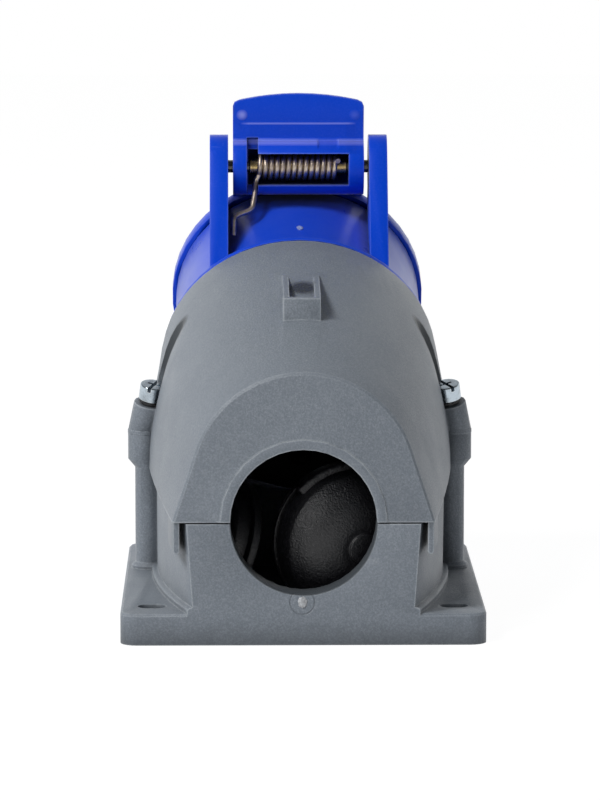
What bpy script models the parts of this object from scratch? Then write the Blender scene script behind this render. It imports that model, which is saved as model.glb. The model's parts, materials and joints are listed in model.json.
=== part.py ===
# Industrial wall socket, two poles and earth, with a sprung lid: an angled surface housing.
# The wall is the plane Z = 0 and +Z leads away from it. The cable comes in from -Y and the
# mouth of the socket faces +Y, tilted away from the wall. X runs across the housing.

import math

import bmesh
import bpy
from mathutils import Matrix, Vector

MM = 0.001

# Clearances
GAP = 0.3 * MM                  # between pieces that touch
PARTING_GAP = 0.35 * MM         # between the cover and the base
SIDE_PLAY = 1.2 * MM            # between the lid's barrel and each ear

# Wall flange of the base
FLANGE_DEPTH = 99.0 * MM
FLANGE_HEIGHT = 7.4 * MM
FLANGE_CORNER = 4.0 * MM
FLANGE_EDGE = 0.5 * MM
FLANGE_RIM = 2.4 * MM           # wall round the hollow underside
FLANGE_SKIN = 2.4 * MM          # thickness above the hollow underside
SLOT_OUTSIDE = 0.5 * MM         # slots' centres, outside the widest part of the walls
SLOT_INSET = 7.3 * MM           # slots' centres, from the flange's sides
SLOT_FRONT_Y = -39.0 * MM
SLOT_REAR_Y = 43.0 * MM
SLOT_WIDTH = 5.2 * MM
SLOT_LENGTH = 6.8 * MM
SLOT_BOSS = 5.6 * MM

# Base box
BASE_WALL = 2.6 * MM
BASE_FLOOR = 2.6 * MM
BASE_HALF_WIDTH = 35.2 * MM
BASE_WIDEST_Y = 8.0 * MM
BASE_REAR_Y = 44.0 * MM
BASE_FRONT_HALF = 27.4 * MM     # at the parting plane
BASE_FRONT_TAPER = 1.4 * MM     # how much narrower the front is at the flange
BASE_REAR_HALF = 34.0 * MM
BASE_CORNER = 10.0 * MM
REAR_SHELF_Y = 36.0 * MM        # the rear wall thickens up to here, under the cover's rear
BEAD_WIDTH = 1.3 * MM           # raised bead along the foot of the walls
BEAD_HEIGHT = 1.6 * MM

# Cable entry and parting plane
ENTRY_RADIUS = 17.2 * MM
ENTRY_HEIGHT = 29.1 * MM
ENTRY_DEPTH = 8.0 * MM
ENTRY_WALL = 2.4 * MM
ENTRY_RING_HEIGHT = 0.3 * MM
PARTING_SLOPE = math.radians(3.8)

# Cover
COVER_WALL = 2.6 * MM
COVER_FRONT_WALL = 3.0 * MM
COVER_REAR_WALL = 3.5 * MM
COVER_EDGE = 0.5 * MM
ARCH_RADIUS = 26.4 * MM
ARCH_HEIGHT = 37.9 * MM         # centre of the front arch
COVER_HALF_WIDTH = 37.7 * MM    # at the parting plane, in its widest place
COVER_WIDEST_Y = 20.0 * MM
OVERHANG_FRONT = 3.3 * MM       # how far the cover stands outside the base in front
OVERHANG_REAR = 0.6 * MM
SKIRT_BOW = 1.35                # 1 is a straight side in plan, 2 a round one
FLANK_ANGLE = math.radians(15.0)    # where the flank leaves the arch, above its centre
FLANK_STEPS = 5
TONGUE_LENGTH = 7.0 * MM
TONGUE_DEPTH = 10.0 * MM
TONGUE_WALL = 1.4 * MM
POCKET_WIDTH = 6.0 * MM
POCKET_WALL = 1.45 * MM
POCKET_FRONT_Y = -24.8 * MM
POCKET_LENGTH = 22.6 * MM
POCKET_FRONT_HEIGHT = 5.5 * MM

# Socket axis
SOCKET_TILT = math.radians(22.0)
RIM_Y = 29.0 * MM
RIM_Z = 56.6 * MM

# Cover screws and their posts
SCREW_X = 36.5 * MM
SCREW_Y = 11.5 * MM
SCREW_SEAT_Z = 48.8 * MM
SCREW_LEAN_IN = math.radians(8.0)
SCREW_LEAN_FRONT = math.radians(14.0)
SCREW_HEAD_RADIUS = 3.4 * MM
SCREW_HEAD_HEIGHT = 3.8 * MM
SCREW_RADIUS = 1.9 * MM
SCREW_LENGTH = 15.0 * MM
SCREW_SLOT = 1.0 * MM
SCREW_SEAL_HEIGHT = 0.6 * MM
EAR_RADIUS = 4.3 * MM
POST_TOP_Z = 41.4 * MM
POST_HEAD_RADIUS = 4.4 * MM
POST_HEAD_Z = 34.6 * MM
POST_RADIUS = 3.7 * MM
POST_SHIFT = 1.0 * MM
SCALLOP_RADIUS = 5.2 * MM
SCALLOP_LENGTH = 34.0 * MM
SCALLOP_WALL = 2.2 * MM

# Socket body
GASKET_HEIGHT = 0.8 * MM
GASKET_SETBACK = 1.0 * MM       # inside the flange's edge
BODY_FLANGE_REACH = 2.8 * MM    # outside the collar
RIM_STANDOUT = 0.5 * MM         # the cover's rim, outside the flange's edge
OPENING_PLAY = 0.8 * MM         # the cover's opening, outside the collar's bore
BODY_FLANGE_HEIGHT = 2.0 * MM
COLLAR_RADIUS = 31.0 * MM
COLLAR_WALL = 2.7 * MM
COLLAR_MOUTH = 34.0 * MM        # along the socket axis, from the cover's rim
BODY_FLOOR_TOP = -6.0 * MM
BODY_FLOOR_BOTTOM = -9.0 * MM
HOOK_COUNT = 4
HOOK_WIDTH = 9.0 * MM
HOOK_REACH = 1.6 * MM
HOOK_HEIGHT = 2.4 * MM
KEYWAY_WIDTH = 8.0 * MM
KEYWAY_DEPTH = 1.9 * MM
KEYWAY_WALL = 1.8 * MM

# Lid ears and hinge
HINGE_ALONG = 30.4 * MM         # hinge axis, along the socket axis
HINGE_RISE = 8.4 * MM           # hinge axis, from the collar's outside
PIN_RADIUS = 1.6 * MM
PIN_SEAT = 3.6 * MM             # depth of the blind seats in the ears
EAR_WALL = 4.6 * MM
EAR_TOP_RADIUS = 8.0 * MM
BARREL_RADIUS = 7.1 * MM
BARREL_HALF = 16.4 * MM

# Spring and its window
COIL_TURNS = 13
COIL_LENGTH = 19.0 * MM
COIL_RADIUS = 2.85 * MM         # to the middle of the wire
WIRE_RADIUS = 0.62 * MM
COIL_START_X = -9.8 * MM
WINDOW_HALF = 12.6 * MM
WINDOW_ABOVE = 3.6 * MM
WINDOW_BELOW = 4.4 * MM
SPRING_ROOM = 4.7 * MM
LEG_SLOT_WIDTH = 2.8 * MM
LEG_KNEE = (1.6 * MM, 5.0 * MM)     # the leg's bends: down from the coil, and above the collar
LEG_DROP = (6.5 * MM, 2.6 * MM)
LEG_BEND = (9.5 * MM, 0.9 * MM)
LEG_LENGTH = 13.5 * MM
LID_LEG = (0.3 * MM, 0.5 * MM, 1.0 * MM)    # the short leg that ends in the lid

# Lid
LID_OVERHANG = 1.0 * MM         # outside the collar
LID_WALL = 2.4 * MM
LID_SKIRT = 2.2 * MM
LID_SKIRT_WALL = 1.6 * MM
LID_DOME = 1.2 * MM
SEAL_HEIGHT = 1.6 * MM
SEAL_REACH = 1.8 * MM           # inside the collar's bore
NOSE_WIDTH = 12.0 * MM
NOSE_REACH = 3.4 * MM
TAB_HEIGHT = 18.6 * MM          # from the hinge axis to the tab's top
TAB_CORNER_DROP = 2.0 * MM
TAB_CORNER = 1.2 * MM
TAB_WALL = 2.6 * MM
TAB_BEND_HEIGHT = 11.5 * MM
TAB_BEND = 1.6 * MM

# Contacts
PITCH_RADIUS = 10.5 * MM
POLE_PIN_RADIUS = 3.05 * MM
EARTH_PIN_RADIUS = 4.05 * MM
SLEEVE_WALL = 0.95 * MM
PLUG_RING = 4.9 * MM            # room for the plug's shroud round the carrier
CARRIER_FACE = 26.0 * MM
CARRIER_NOSE = 3.0 * MM         # thickness of the face in front of the sleeves
SHOULDER_PLAY = 1.4 * MM
SHOULDER_HEIGHT = 3.0 * MM
BLOCK_STEP = 4.9 * MM           # the block's edge, inside the shoulder's
BLOCK_HEIGHT = 15.0 * MM
BLOCK_EDGE = 4.0 * MM
TERMINAL_SCREW_RADIUS = 1.8 * MM
TERMINAL_SCREW_LENGTH = 5.5 * MM
WIRE_ENTRY_RADIUS = 2.8 * MM
WIRE_DEPTH = 9.0 * MM
CENTRE_SCREW_RADIUS = 1.5 * MM
CENTRE_SCREW_HEAD = 3.0 * MM
CENTRE_SCREW_HEAD_HEIGHT = 2.2 * MM
CENTRE_SCREW_LENGTH = 16.0 * MM

# Housing seals
STRIP_WIDTH = 1.2 * MM
STRIP_HEIGHT = 1.0 * MM
STRIP_FRONT_Y = -38.0 * MM
STRIP_REAR_Y = 1.0 * MM

# Cable grommets, lying loose in the wiring space
GROMMET_PLAY = 0.7 * MM         # inside the cable entry that it is made for
GROMMET_GROOVE = 1.6 * MM
GROMMET_LIP = 2.0 * MM
GROMMET_DOME = 6.0 * MM
GROMMET_WALL = 1.8 * MM
NIPPLE_RADIUS = 3.4 * MM
GROMMET_PLACE = 0.353           # share of the room's half width
GROMMET_Y = -25.0 * MM
GROMMET_TURN = math.radians(28.0)
GROMMET_NOD = math.radians(18.0)
PLUG_RADIUS = 14.0 * MM
PLUG_LIP = 2.4 * MM
PLUG_HEIGHT = 6.0 * MM
PLUG_PLACE = -0.515
PLUG_Y = -20.0 * MM
PLUG_TURN = math.radians(-66.0)
PLUG_NOD = math.radians(-20.0)

# Facets
ROUND_STEPS = 36
COLLAR_STEPS = 46
ARC_STEPS = 24
BORE_STEPS = 20
BARREL_STEPS = 40
TAB_STEPS = 14
SMALL_STEPS = 14
PLAN_STEPS = 12
STATION_STEPS = 8
COIL_STEPS = 10
WIRE_STEPS = 6

# Sizes and places that follow from the ones above
SLOT_X = BASE_HALF_WIDTH + SLOT_OUTSIDE
FLANGE_WIDTH = 2 * (SLOT_X + SLOT_INSET)
BODY_FLANGE_RADIUS = COLLAR_RADIUS + BODY_FLANGE_REACH
GASKET_RADIUS = BODY_FLANGE_RADIUS - GASKET_SETBACK
RIM_RADIUS = BODY_FLANGE_RADIUS + RIM_STANDOUT
COLLAR_BORE = COLLAR_RADIUS - COLLAR_WALL
OPENING_RADIUS = COLLAR_BORE + OPENING_PLAY
HINGE_UP = COLLAR_RADIUS + HINGE_RISE
LID_RADIUS = COLLAR_RADIUS + LID_OVERHANG
SEAL_INNER = COLLAR_BORE - SEAL_REACH
CARRIER_RADIUS = COLLAR_BORE - PLUG_RING
SHOULDER_RADIUS = COLLAR_BORE - SHOULDER_PLAY
BLOCK_RADIUS = SHOULDER_RADIUS - BLOCK_STEP
GROMMET_RADIUS = ENTRY_RADIUS - GROMMET_PLAY
GROMMET_X = GROMMET_PLACE * (BASE_HALF_WIDTH - BASE_WALL)
PLUG_X = PLUG_PLACE * (BASE_HALF_WIDTH - BASE_WALL)
FRONT_Y = -FLANGE_DEPTH / 2
FLANGE_BOTTOM_S = GASKET_HEIGHT + 2 * GAP
COLLAR_START = FLANGE_BOTTOM_S + BODY_FLANGE_HEIGHT
EAR_INNER = BARREL_HALF + SIDE_PLAY
EAR_OUTER = EAR_INNER + EAR_WALL
LID_SEAT = COLLAR_MOUTH + GAP
SHOULDER_TOP = BODY_FLOOR_BOTTOM - GAP
BLOCK_TOP = SHOULDER_TOP - SHOULDER_HEIGHT - GAP
BLOCK_BOTTOM = BLOCK_TOP - BLOCK_HEIGHT
OVERLAP = 1.0 * MM              # how far cutters and joined forms reach past a face


# Materials

def material(name, colour, roughness, metallic=0.0):
    made = bpy.data.materials.new(name)
    made.use_nodes = True
    shader = made.node_tree.nodes["Principled BSDF"]
    shader.inputs["Base Color"].default_value = (*colour, 1.0)
    shader.inputs["Roughness"].default_value = roughness
    shader.inputs["Metallic"].default_value = metallic
    made.diffuse_color = (*colour, 1.0)
    return made


# Mesh helpers

def add_object(name, mesh_data, finish=None, frame=None):
    """Turn a bmesh into an object; a piece without a finish is a hidden cutter or joined form."""
    bmesh.ops.recalc_face_normals(mesh_data, faces=mesh_data.faces)
    mesh = bpy.data.meshes.new(name)
    mesh_data.to_mesh(mesh)
    mesh_data.free()
    thing = bpy.data.objects.new(name, mesh)
    bpy.context.scene.collection.objects.link(thing)
    if finish is None:
        thing.hide_render = True
        thing.display_type = "WIRE"
    else:
        mesh.materials.append(finish)
        mesh.shade_smooth()
        mesh.set_sharp_from_angle(angle=math.radians(32.0))
    if frame is not None:
        thing.parent = frame
    return thing


def loft(rings, closed=False):
    """Skin rings of equal length; the ends are capped unless the rings close on themselves."""
    made = bmesh.new()
    rows = [[made.verts.new(point) for point in ring] for ring in rings]
    count = len(rows[0])
    pairs = list(zip(rows, rows[1:]))
    if closed:
        pairs.append((rows[-1], rows[0]))
    for lower, upper in pairs:
        for i in range(count):
            j = (i + 1) % count
            made.faces.new((lower[i], lower[j], upper[j], upper[i]))
    if not closed:
        made.faces.new(rows[0])
        made.faces.new(rows[-1])
    return made


def turned(profile, steps=ROUND_STEPS):
    """Turn (along, radius) points about the local Y axis; radius 0 at both ends closes it."""
    made = bmesh.new()
    solid = profile[0][1] == 0 and profile[-1][1] == 0
    inner = profile[1:-1] if solid else profile
    rows = []
    for along, radius in inner:
        ring = []
        for i in range(steps):
            angle = 2 * math.pi * i / steps
            point = (radius * math.sin(angle), along, radius * math.cos(angle))
            ring.append(made.verts.new(point))
        rows.append(ring)
    pairs = list(zip(rows, rows[1:]))
    if not solid:
        pairs.append((rows[-1], rows[0]))
    for lower, upper in pairs:
        for i in range(steps):
            j = (i + 1) % steps
            made.faces.new((lower[i], lower[j], upper[j], upper[i]))
    if solid:
        for ring, (along, radius) in ((rows[0], profile[0]), (rows[-1], profile[-1])):
            if abs(ring[0].co.y - along) < 1e-9:
                made.faces.new(ring)
            else:
                pole = made.verts.new((0, along, 0))
                for i in range(steps):
                    made.faces.new((ring[i], ring[(i + 1) % steps], pole))
    return made


def disc(low, high, radius, steps=ROUND_STEPS):
    return turned([(low, 0), (low, radius), (high, radius), (high, 0)], steps)


def tube(low, high, bore, radius, steps=ROUND_STEPS):
    return turned([(low, bore), (low, radius), (high, radius), (high, bore)], steps)


def prism(outline, low, high, place):
    """Extrude a flat outline; place(a, b, depth) gives each point."""
    return loft([[place(a, b, depth) for a, b in outline] for depth in (low, high)])


def along_x(a, b, depth):
    return (depth, a, b)


def along_y(a, b, depth):
    return (a, depth, b)


def along_z(a, b, depth):
    return (a, b, depth)


def box(low, high):
    outline = [(low[0], low[1]), (high[0], low[1]), (high[0], high[1]), (low[0], high[1])]
    return prism(outline, low[2], high[2], along_z)


def arc(centre_a, centre_b, radius, start, end, steps):
    points = []
    for i in range(steps + 1):
        angle = math.radians(start + (end - start) * i / steps)
        points.append((centre_a + radius * math.cos(angle), centre_b + radius * math.sin(angle)))
    return points


def rounded_rectangle(half_width, half_depth, corner, steps=5):
    points = []
    for sign_a, sign_b, start in ((1, 1, 0), (-1, 1, 90), (-1, -1, 180), (1, -1, 270)):
        centre_a = sign_a * (half_width - corner)
        centre_b = sign_b * (half_depth - corner)
        points += arc(centre_a, centre_b, corner, start, start + 90, steps)
    return points


def combine(target, tool, operation):
    step = target.modifiers.new(tool.name, "BOOLEAN")
    step.object = tool
    step.operation = operation
    step.solver = "EXACT"
    return target


def cut(target, *tools):
    for tool in tools:
        combine(target, tool, "DIFFERENCE")


def join(target, *tools):
    for tool in tools:
        combine(target, tool, "UNION")


def empty(name, matrix, parent=None):
    frame = bpy.data.objects.new(name, None)
    bpy.context.scene.collection.objects.link(frame)
    frame.parent = parent
    frame.matrix_local = matrix
    return frame


def shifted(points, a, b):
    return [(x + a, y + b) for x, y in points]


# Forms that more than one piece follows

def parting_height(y):
    return ENTRY_HEIGHT + (y - FRONT_Y) * math.tan(PARTING_SLOPE)


def base_half_width(y):
    """Half width of the base box at the parting plane: two bows that meet at the widest place."""
    if y < BASE_WIDEST_Y:
        reach = (BASE_WIDEST_Y - y) / (BASE_WIDEST_Y - FRONT_Y)
        return BASE_HALF_WIDTH - (BASE_HALF_WIDTH - BASE_FRONT_HALF) * reach ** 2
    reach = (y - BASE_WIDEST_Y) / (BASE_REAR_Y - BASE_WIDEST_Y)
    return BASE_HALF_WIDTH - (BASE_HALF_WIDTH - BASE_REAR_HALF) * reach ** 2


def cover_half_width(y):
    """Half width of the cover's foot: it follows the base in front and bows less."""
    if y < COVER_WIDEST_Y:
        reach = (COVER_WIDEST_Y - y) / (COVER_WIDEST_Y - FRONT_Y)
        front = BASE_FRONT_HALF + OVERHANG_FRONT
        return COVER_HALF_WIDTH - (COVER_HALF_WIDTH - front) * reach ** SKIRT_BOW
    reach = (y - COVER_WIDEST_Y) / (BASE_REAR_Y - COVER_WIDEST_Y)
    rear = BASE_REAR_HALF + OVERHANG_REAR
    return COVER_HALF_WIDTH - (COVER_HALF_WIDTH - rear) * reach ** 2


def base_outline(inset=0.0, taper=0.0, swell=0.0):
    """Plan of the base box: inset moves every side in, taper narrows the front, swell bows it out."""
    front = FRONT_Y + inset
    rear = BASE_REAR_Y - inset + swell
    corner = BASE_CORNER
    side = []
    for i in range(PLAN_STEPS + 1):
        y = front + (rear - corner - front) * i / PLAN_STEPS
        nose = max(0.0, (BASE_WIDEST_Y - y) / (BASE_WIDEST_Y - FRONT_Y))
        side.append((base_half_width(y) - inset + swell - taper * nose, y))
    last = side[-1][0]
    turn = arc(last - corner, rear - corner, corner, 0, 90, 5)[1:]
    right = side + turn
    return right + [(-x, y) for x, y in reversed(right)]


def section_frame(t):
    """Centre, tilt, half width and height of the cover's arch at station t, 0 front to 1 rim."""
    centre = Vector((0, FRONT_Y + (RIM_Y - FRONT_Y) * t, ARCH_HEIGHT + (RIM_Z - ARCH_HEIGHT) * t))
    tilt = SOCKET_TILT * t
    ease = 1 - (1 - t) ** 2.4
    half = ARCH_RADIUS + (RIM_RADIUS - ARCH_RADIUS) * ease
    height = ARCH_RADIUS + (RIM_RADIUS - ARCH_RADIUS) * t
    return centre, tilt, half, height


def cover_section(t, inset=0.0, drop=0.0, shift=0.0):
    """One arch of the cover with its flared skirt, down to the parting plane less drop."""
    centre, tilt, half, height = section_frame(t)
    up = Vector((0, -math.sin(tilt), math.cos(tilt)))
    along = Vector((0, math.cos(tilt), math.sin(tilt)))
    centre = centre + along * shift
    slope = math.tan(PARTING_SLOPE)
    level = parting_height(centre.y) - drop - centre.z
    foot = level / (up.z - up.y * slope)
    foot_y = centre.y + foot * up.y
    foot_half = cover_half_width(foot_y) - inset
    half = half - inset
    height = height - inset
    across, rise = foot_half / half, foot / height
    tangent = math.atan2(rise, across) + math.acos(min(1.0, 1 / math.hypot(across, rise)))
    leave = max(FLANK_ANGLE, tangent)
    start = half * math.cos(leave), height * math.sin(leave)
    lean = half * math.sin(leave) / (height * math.cos(leave))
    corner = foot_half, max(foot, start[1] - (foot_half - start[0]) / lean)
    right = []
    for i in range(FLANK_STEPS):
        q = i / FLANK_STEPS
        right.append(tuple((1 - q) ** 2 * a + 2 * q * (1 - q) * b + q ** 2 * c
                           for a, b, c in zip((foot_half, foot), corner, start)))
    top = []
    for i in range(ARC_STEPS + 1):
        angle = leave + (math.pi - 2 * leave) * i / ARC_STEPS
        top.append((half * math.cos(angle), height * math.sin(angle)))
    left = [(-x, z) for x, z in reversed(right)]
    return [centre + Vector((x, 0, 0)) + up * z for x, z in right + top + left]


def screw_matrix(side):
    """Frame of a cover screw: its Y axis leads up out of the head, its origin is the seat."""
    up = Vector((-side * math.tan(SCREW_LEAN_IN), -math.tan(SCREW_LEAN_FRONT), 1)).normalized()
    across = up.cross(Vector((0, 1, 0))).normalized()
    third = across.cross(up)
    turn = Matrix((across, up, third)).transposed().to_4x4()
    return Matrix.Translation((side * SCREW_X, SCREW_Y, SCREW_SEAT_Z)) @ turn


def screw_axis_at(side, height):
    """Where a cover screw's axis crosses a given height."""
    matrix = screw_matrix(side)
    seat = matrix.translation
    up = matrix.col[1].to_3d()
    return seat + up * ((height - seat.z) / up.z)


def ring_at(centre_x, centre_y, radius, height, steps=SMALL_STEPS):
    ring = []
    for i in range(steps):
        angle = 2 * math.pi * i / steps
        ring.append((centre_x + radius * math.cos(angle), centre_y + radius * math.sin(angle), height))
    return ring


def cable_bore(name, radius, low, high):
    made = disc(low, high, radius)
    bmesh.ops.translate(made, verts=made.verts, vec=(0, 0, ENTRY_HEIGHT))
    return add_object(name, made)


# Base: flange, box, posts

def post_centre(side):
    middle = screw_axis_at(side, (POST_TOP_Z + POST_HEAD_Z) / 2)
    return middle.x, middle.y


def make_post(side):
    x, y = post_centre(side)
    low_x = x - side * POST_SHIFT
    rings = [
        ring_at(low_x, y, POST_RADIUS + OVERLAP, FLANGE_HEIGHT - OVERLAP),
        ring_at(low_x, y, POST_RADIUS + OVERLAP, FLANGE_HEIGHT + BEAD_HEIGHT / 2),
        ring_at(low_x, y, POST_RADIUS, FLANGE_HEIGHT + BEAD_HEIGHT),
        ring_at(low_x, y, POST_RADIUS, POST_HEAD_Z - 2 * POST_SHIFT),
        ring_at(x, y, POST_HEAD_RADIUS, POST_HEAD_Z),
        ring_at(x, y, POST_HEAD_RADIUS, POST_TOP_Z),
    ]
    return add_object("post_form", loft(rings))


def make_base(finish, socket_frame, screw_frames):
    plate = rounded_rectangle(FLANGE_WIDTH / 2, FLANGE_DEPTH / 2, FLANGE_CORNER)
    inner = rounded_rectangle(FLANGE_WIDTH / 2 - FLANGE_EDGE, FLANGE_DEPTH / 2 - FLANGE_EDGE,
                              FLANGE_CORNER - FLANGE_EDGE)
    levels = [(plate, 0), (plate, FLANGE_HEIGHT - FLANGE_EDGE), (inner, FLANGE_HEIGHT)]
    rings = [[(x, y, z) for x, y in outline] for outline, z in levels]
    base = add_object("base_housing", loft(rings), finish)

    walls = []
    foot_levels = ((-OVERLAP, BEAD_WIDTH), (0.6 * BEAD_HEIGHT, BEAD_WIDTH),
                   (0.9 * BEAD_HEIGHT, 0.6 * BEAD_WIDTH), (BEAD_HEIGHT, 0.0))
    for rise, swell in foot_levels:
        outline = base_outline(taper=BASE_FRONT_TAPER, swell=swell)
        walls.append([(x, y, FLANGE_HEIGHT + rise) for x, y in outline])
    walls.append([(x, y, parting_height(y) - PARTING_GAP) for x, y in base_outline()])
    join(base, add_object("base_wall_form", loft(walls)))

    for side in (-1, 1):
        join(base, make_post(side))

    hollow = [[(x, y, BASE_FLOOR) for x, y in base_outline(BASE_WALL, BASE_FRONT_TAPER)]]
    upper = [(x, min(y, REAR_SHELF_Y)) for x, y in base_outline(BASE_WALL)]
    hollow.append([(x, y, parting_height(y) + OVERLAP) for x, y in upper])
    cut(base, add_object("base_hollow", loft(hollow)))

    # The lower half of the deep collar round the cable entry
    half_turn = arc(0, 0, ENTRY_RADIUS + ENTRY_WALL, 180, 360, ARC_STEPS // 2)
    flat = [(x, z + ENTRY_HEIGHT - PARTING_GAP) for x, z in half_turn]
    collar = prism(flat, FRONT_Y + BASE_WALL / 2, FRONT_Y + ENTRY_DEPTH, along_y)
    join(base, add_object("base_entry_form", collar))
    cut(base, cable_bore("base_entry_bore", ENTRY_RADIUS, FRONT_Y - OVERLAP,
                         FRONT_Y + ENTRY_DEPTH + OVERLAP))

    # The rear wall is cut round for the socket's flange
    notch = disc(-2 * COVER_REAR_WALL, COLLAR_MOUTH, RIM_RADIUS + 3 * GAP)
    cut(base, add_object("rear_notch", notch, frame=socket_frame))

    make_fixing_slots(base)
    make_flange_hollow(base)
    for side in (-1, 1):
        bore = disc(-SCREW_LENGTH - OVERLAP, OVERLAP, SCREW_RADIUS + GAP, SMALL_STEPS)
        cut(base, add_object("post_bore", bore, frame=screw_frames[side]))
        cut(base, add_object("strip_groove", strip_form(side, GAP, OVERLAP)))
    return base


def slot_outline(grow):
    half = SLOT_LENGTH / 2 - SLOT_WIDTH / 2
    radius = SLOT_WIDTH / 2 + grow
    return arc(half, 0, radius, -90, 90, 8) + arc(-half, 0, radius, 90, 270, 8)


def make_fixing_slots(base):
    for x in (-SLOT_X, SLOT_X):
        for y in (SLOT_FRONT_Y, SLOT_REAR_Y):
            outline = shifted(slot_outline(0), x, y)
            slot = prism(outline, -OVERLAP, FLANGE_HEIGHT + OVERLAP, along_z)
            cut(base, add_object("fixing_slot", slot))


def make_flange_hollow(base):
    """The flange is hollow from the wall side, outside the box and round the slots' bosses."""
    outline = rounded_rectangle(FLANGE_WIDTH / 2 - FLANGE_RIM, FLANGE_DEPTH / 2 - FLANGE_RIM,
                                FLANGE_CORNER - FLANGE_RIM / 2)
    top = FLANGE_HEIGHT - FLANGE_SKIN
    hollow = add_object("flange_hollow", prism(outline, -OVERLAP, top, along_z))
    keep = prism(base_outline(taper=BASE_FRONT_TAPER), -2 * OVERLAP, FLANGE_HEIGHT, along_z)
    cut(hollow, add_object("box_footprint", keep))
    for x in (-SLOT_X, SLOT_X):
        for y in (SLOT_FRONT_Y, SLOT_REAR_Y):
            boss = shifted(slot_outline(SLOT_BOSS - SLOT_WIDTH / 2), x, y)
            cut(hollow, add_object("slot_boss", prism(boss, -2 * OVERLAP, FLANGE_HEIGHT, along_z)))
    cut(base, hollow)


# Cover: arched shell, rim, ears, tongues and pocket

def make_cover(finish, socket_frame, screw_frames):
    edge_t = COVER_EDGE / (RIM_Y - FRONT_Y)
    rings = [cover_section(0, inset=COVER_EDGE), cover_section(edge_t)]
    for i in range(1, STATION_STEPS + 1):
        rings.append(cover_section(i / STATION_STEPS))
    cover = add_object("cover_housing", loft(rings), finish)

    # Lower part of the rim, which hangs into the base's rear notch
    low = arc(0, 0, RIM_RADIUS, 180, 360, ARC_STEPS)
    chin = prism(low, -COVER_REAR_WALL + GAP / 3, -GAP / 3, along_y)
    join(cover, add_object("rim_form", chin, frame=socket_frame))

    for side in (-1, 1):
        join(cover, make_ear(side))
        scallop = disc(0, SCALLOP_LENGTH, SCALLOP_RADIUS, BORE_STEPS)
        cut(cover, add_object("scallop", scallop, frame=screw_frames[side]))

    cut(cover, cover_hollow(screw_frames))
    make_entry_half(cover)
    opening = disc(-2 * COVER_REAR_WALL, OVERLAP, OPENING_RADIUS)
    cut(cover, add_object("socket_opening", opening, frame=socket_frame))

    for side in (-1, 1):
        bore = disc(-SCREW_LENGTH - OVERLAP, OVERLAP, SCREW_RADIUS + GAP, SMALL_STEPS)
        cut(cover, add_object("ear_bore", bore, frame=screw_frames[side]))
        cut(cover, make_post_notch(side))
        join(cover, make_tongue(side))
    make_pocket(cover)
    return cover


def make_ear(side):
    """A round ear that leans with the screw: flat below, square to the screw on top."""
    foot = screw_axis_at(side, POST_TOP_Z + GAP)
    matrix = screw_matrix(side)
    upper = []
    for i in range(SMALL_STEPS):
        angle = 2 * math.pi * i / SMALL_STEPS
        direction = Vector((math.cos(angle), math.sin(angle), 0))
        local = matrix.to_3x3().transposed() @ direction
        local.y = 0
        rim = local.normalized() * EAR_RADIUS
        rim.y = OVERLAP
        upper.append(matrix @ rim)
    lower = ring_at(*post_centre(side), POST_HEAD_RADIUS, foot.z)
    return add_object("ear_form", loft([lower, upper]))


def make_post_notch(side):
    x, y = post_centre(side)
    radius = POST_HEAD_RADIUS + GAP
    low = POST_HEAD_Z - 6 * POST_SHIFT
    return add_object("post_notch", loft([ring_at(x, y, radius, low),
                                          ring_at(x, y, radius, POST_TOP_Z + GAP)]))


def cover_hollow(screw_frames):
    rings = []
    for i in range(STATION_STEPS + 1):
        t = i / STATION_STEPS
        shift = COVER_FRONT_WALL * (1 - t) - COVER_REAR_WALL * t
        rings.append(cover_section(t, inset=COVER_WALL, drop=4 * OVERLAP, shift=shift))
    hollow = add_object("cover_hollow", loft(rings))
    for side in (-1, 1):
        guard = disc(-SCREW_LENGTH - 3 * OVERLAP, SCALLOP_LENGTH, SCALLOP_RADIUS + SCALLOP_WALL, BORE_STEPS)
        cut(hollow, add_object("scallop_guard", guard, frame=screw_frames[side]))
    return hollow


def make_entry_half(cover):
    half_turn = arc(0, 0, ENTRY_RADIUS + ENTRY_WALL, 0, 180, ARC_STEPS // 2)
    flat = [(x, z + ENTRY_HEIGHT + GAP / 10) for x, z in half_turn]
    inside = prism(flat, FRONT_Y + COVER_FRONT_WALL / 2, FRONT_Y + ENTRY_DEPTH, along_y)
    ring = prism(flat, FRONT_Y - ENTRY_RING_HEIGHT, FRONT_Y + COVER_EDGE, along_y)
    slope = 2 * ENTRY_DEPTH * math.tan(PARTING_SLOPE)
    trim = prism([(FRONT_Y - OVERLAP, ENTRY_HEIGHT), (FRONT_Y + 2 * ENTRY_DEPTH, ENTRY_HEIGHT),
                  (FRONT_Y + 2 * ENTRY_DEPTH, ENTRY_HEIGHT + slope)],
                 -ENTRY_RADIUS - 2 * ENTRY_WALL, ENTRY_RADIUS + 2 * ENTRY_WALL, along_x)
    inside_form = add_object("cover_entry_form", inside)
    cut(inside_form, add_object("entry_trim", trim))
    join(cover, inside_form, add_object("entry_ring_form", ring))
    cut(cover, cable_bore("cover_entry_bore", ENTRY_RADIUS, FRONT_Y - OVERLAP,
                          FRONT_Y + ENTRY_DEPTH + OVERLAP))


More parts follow.
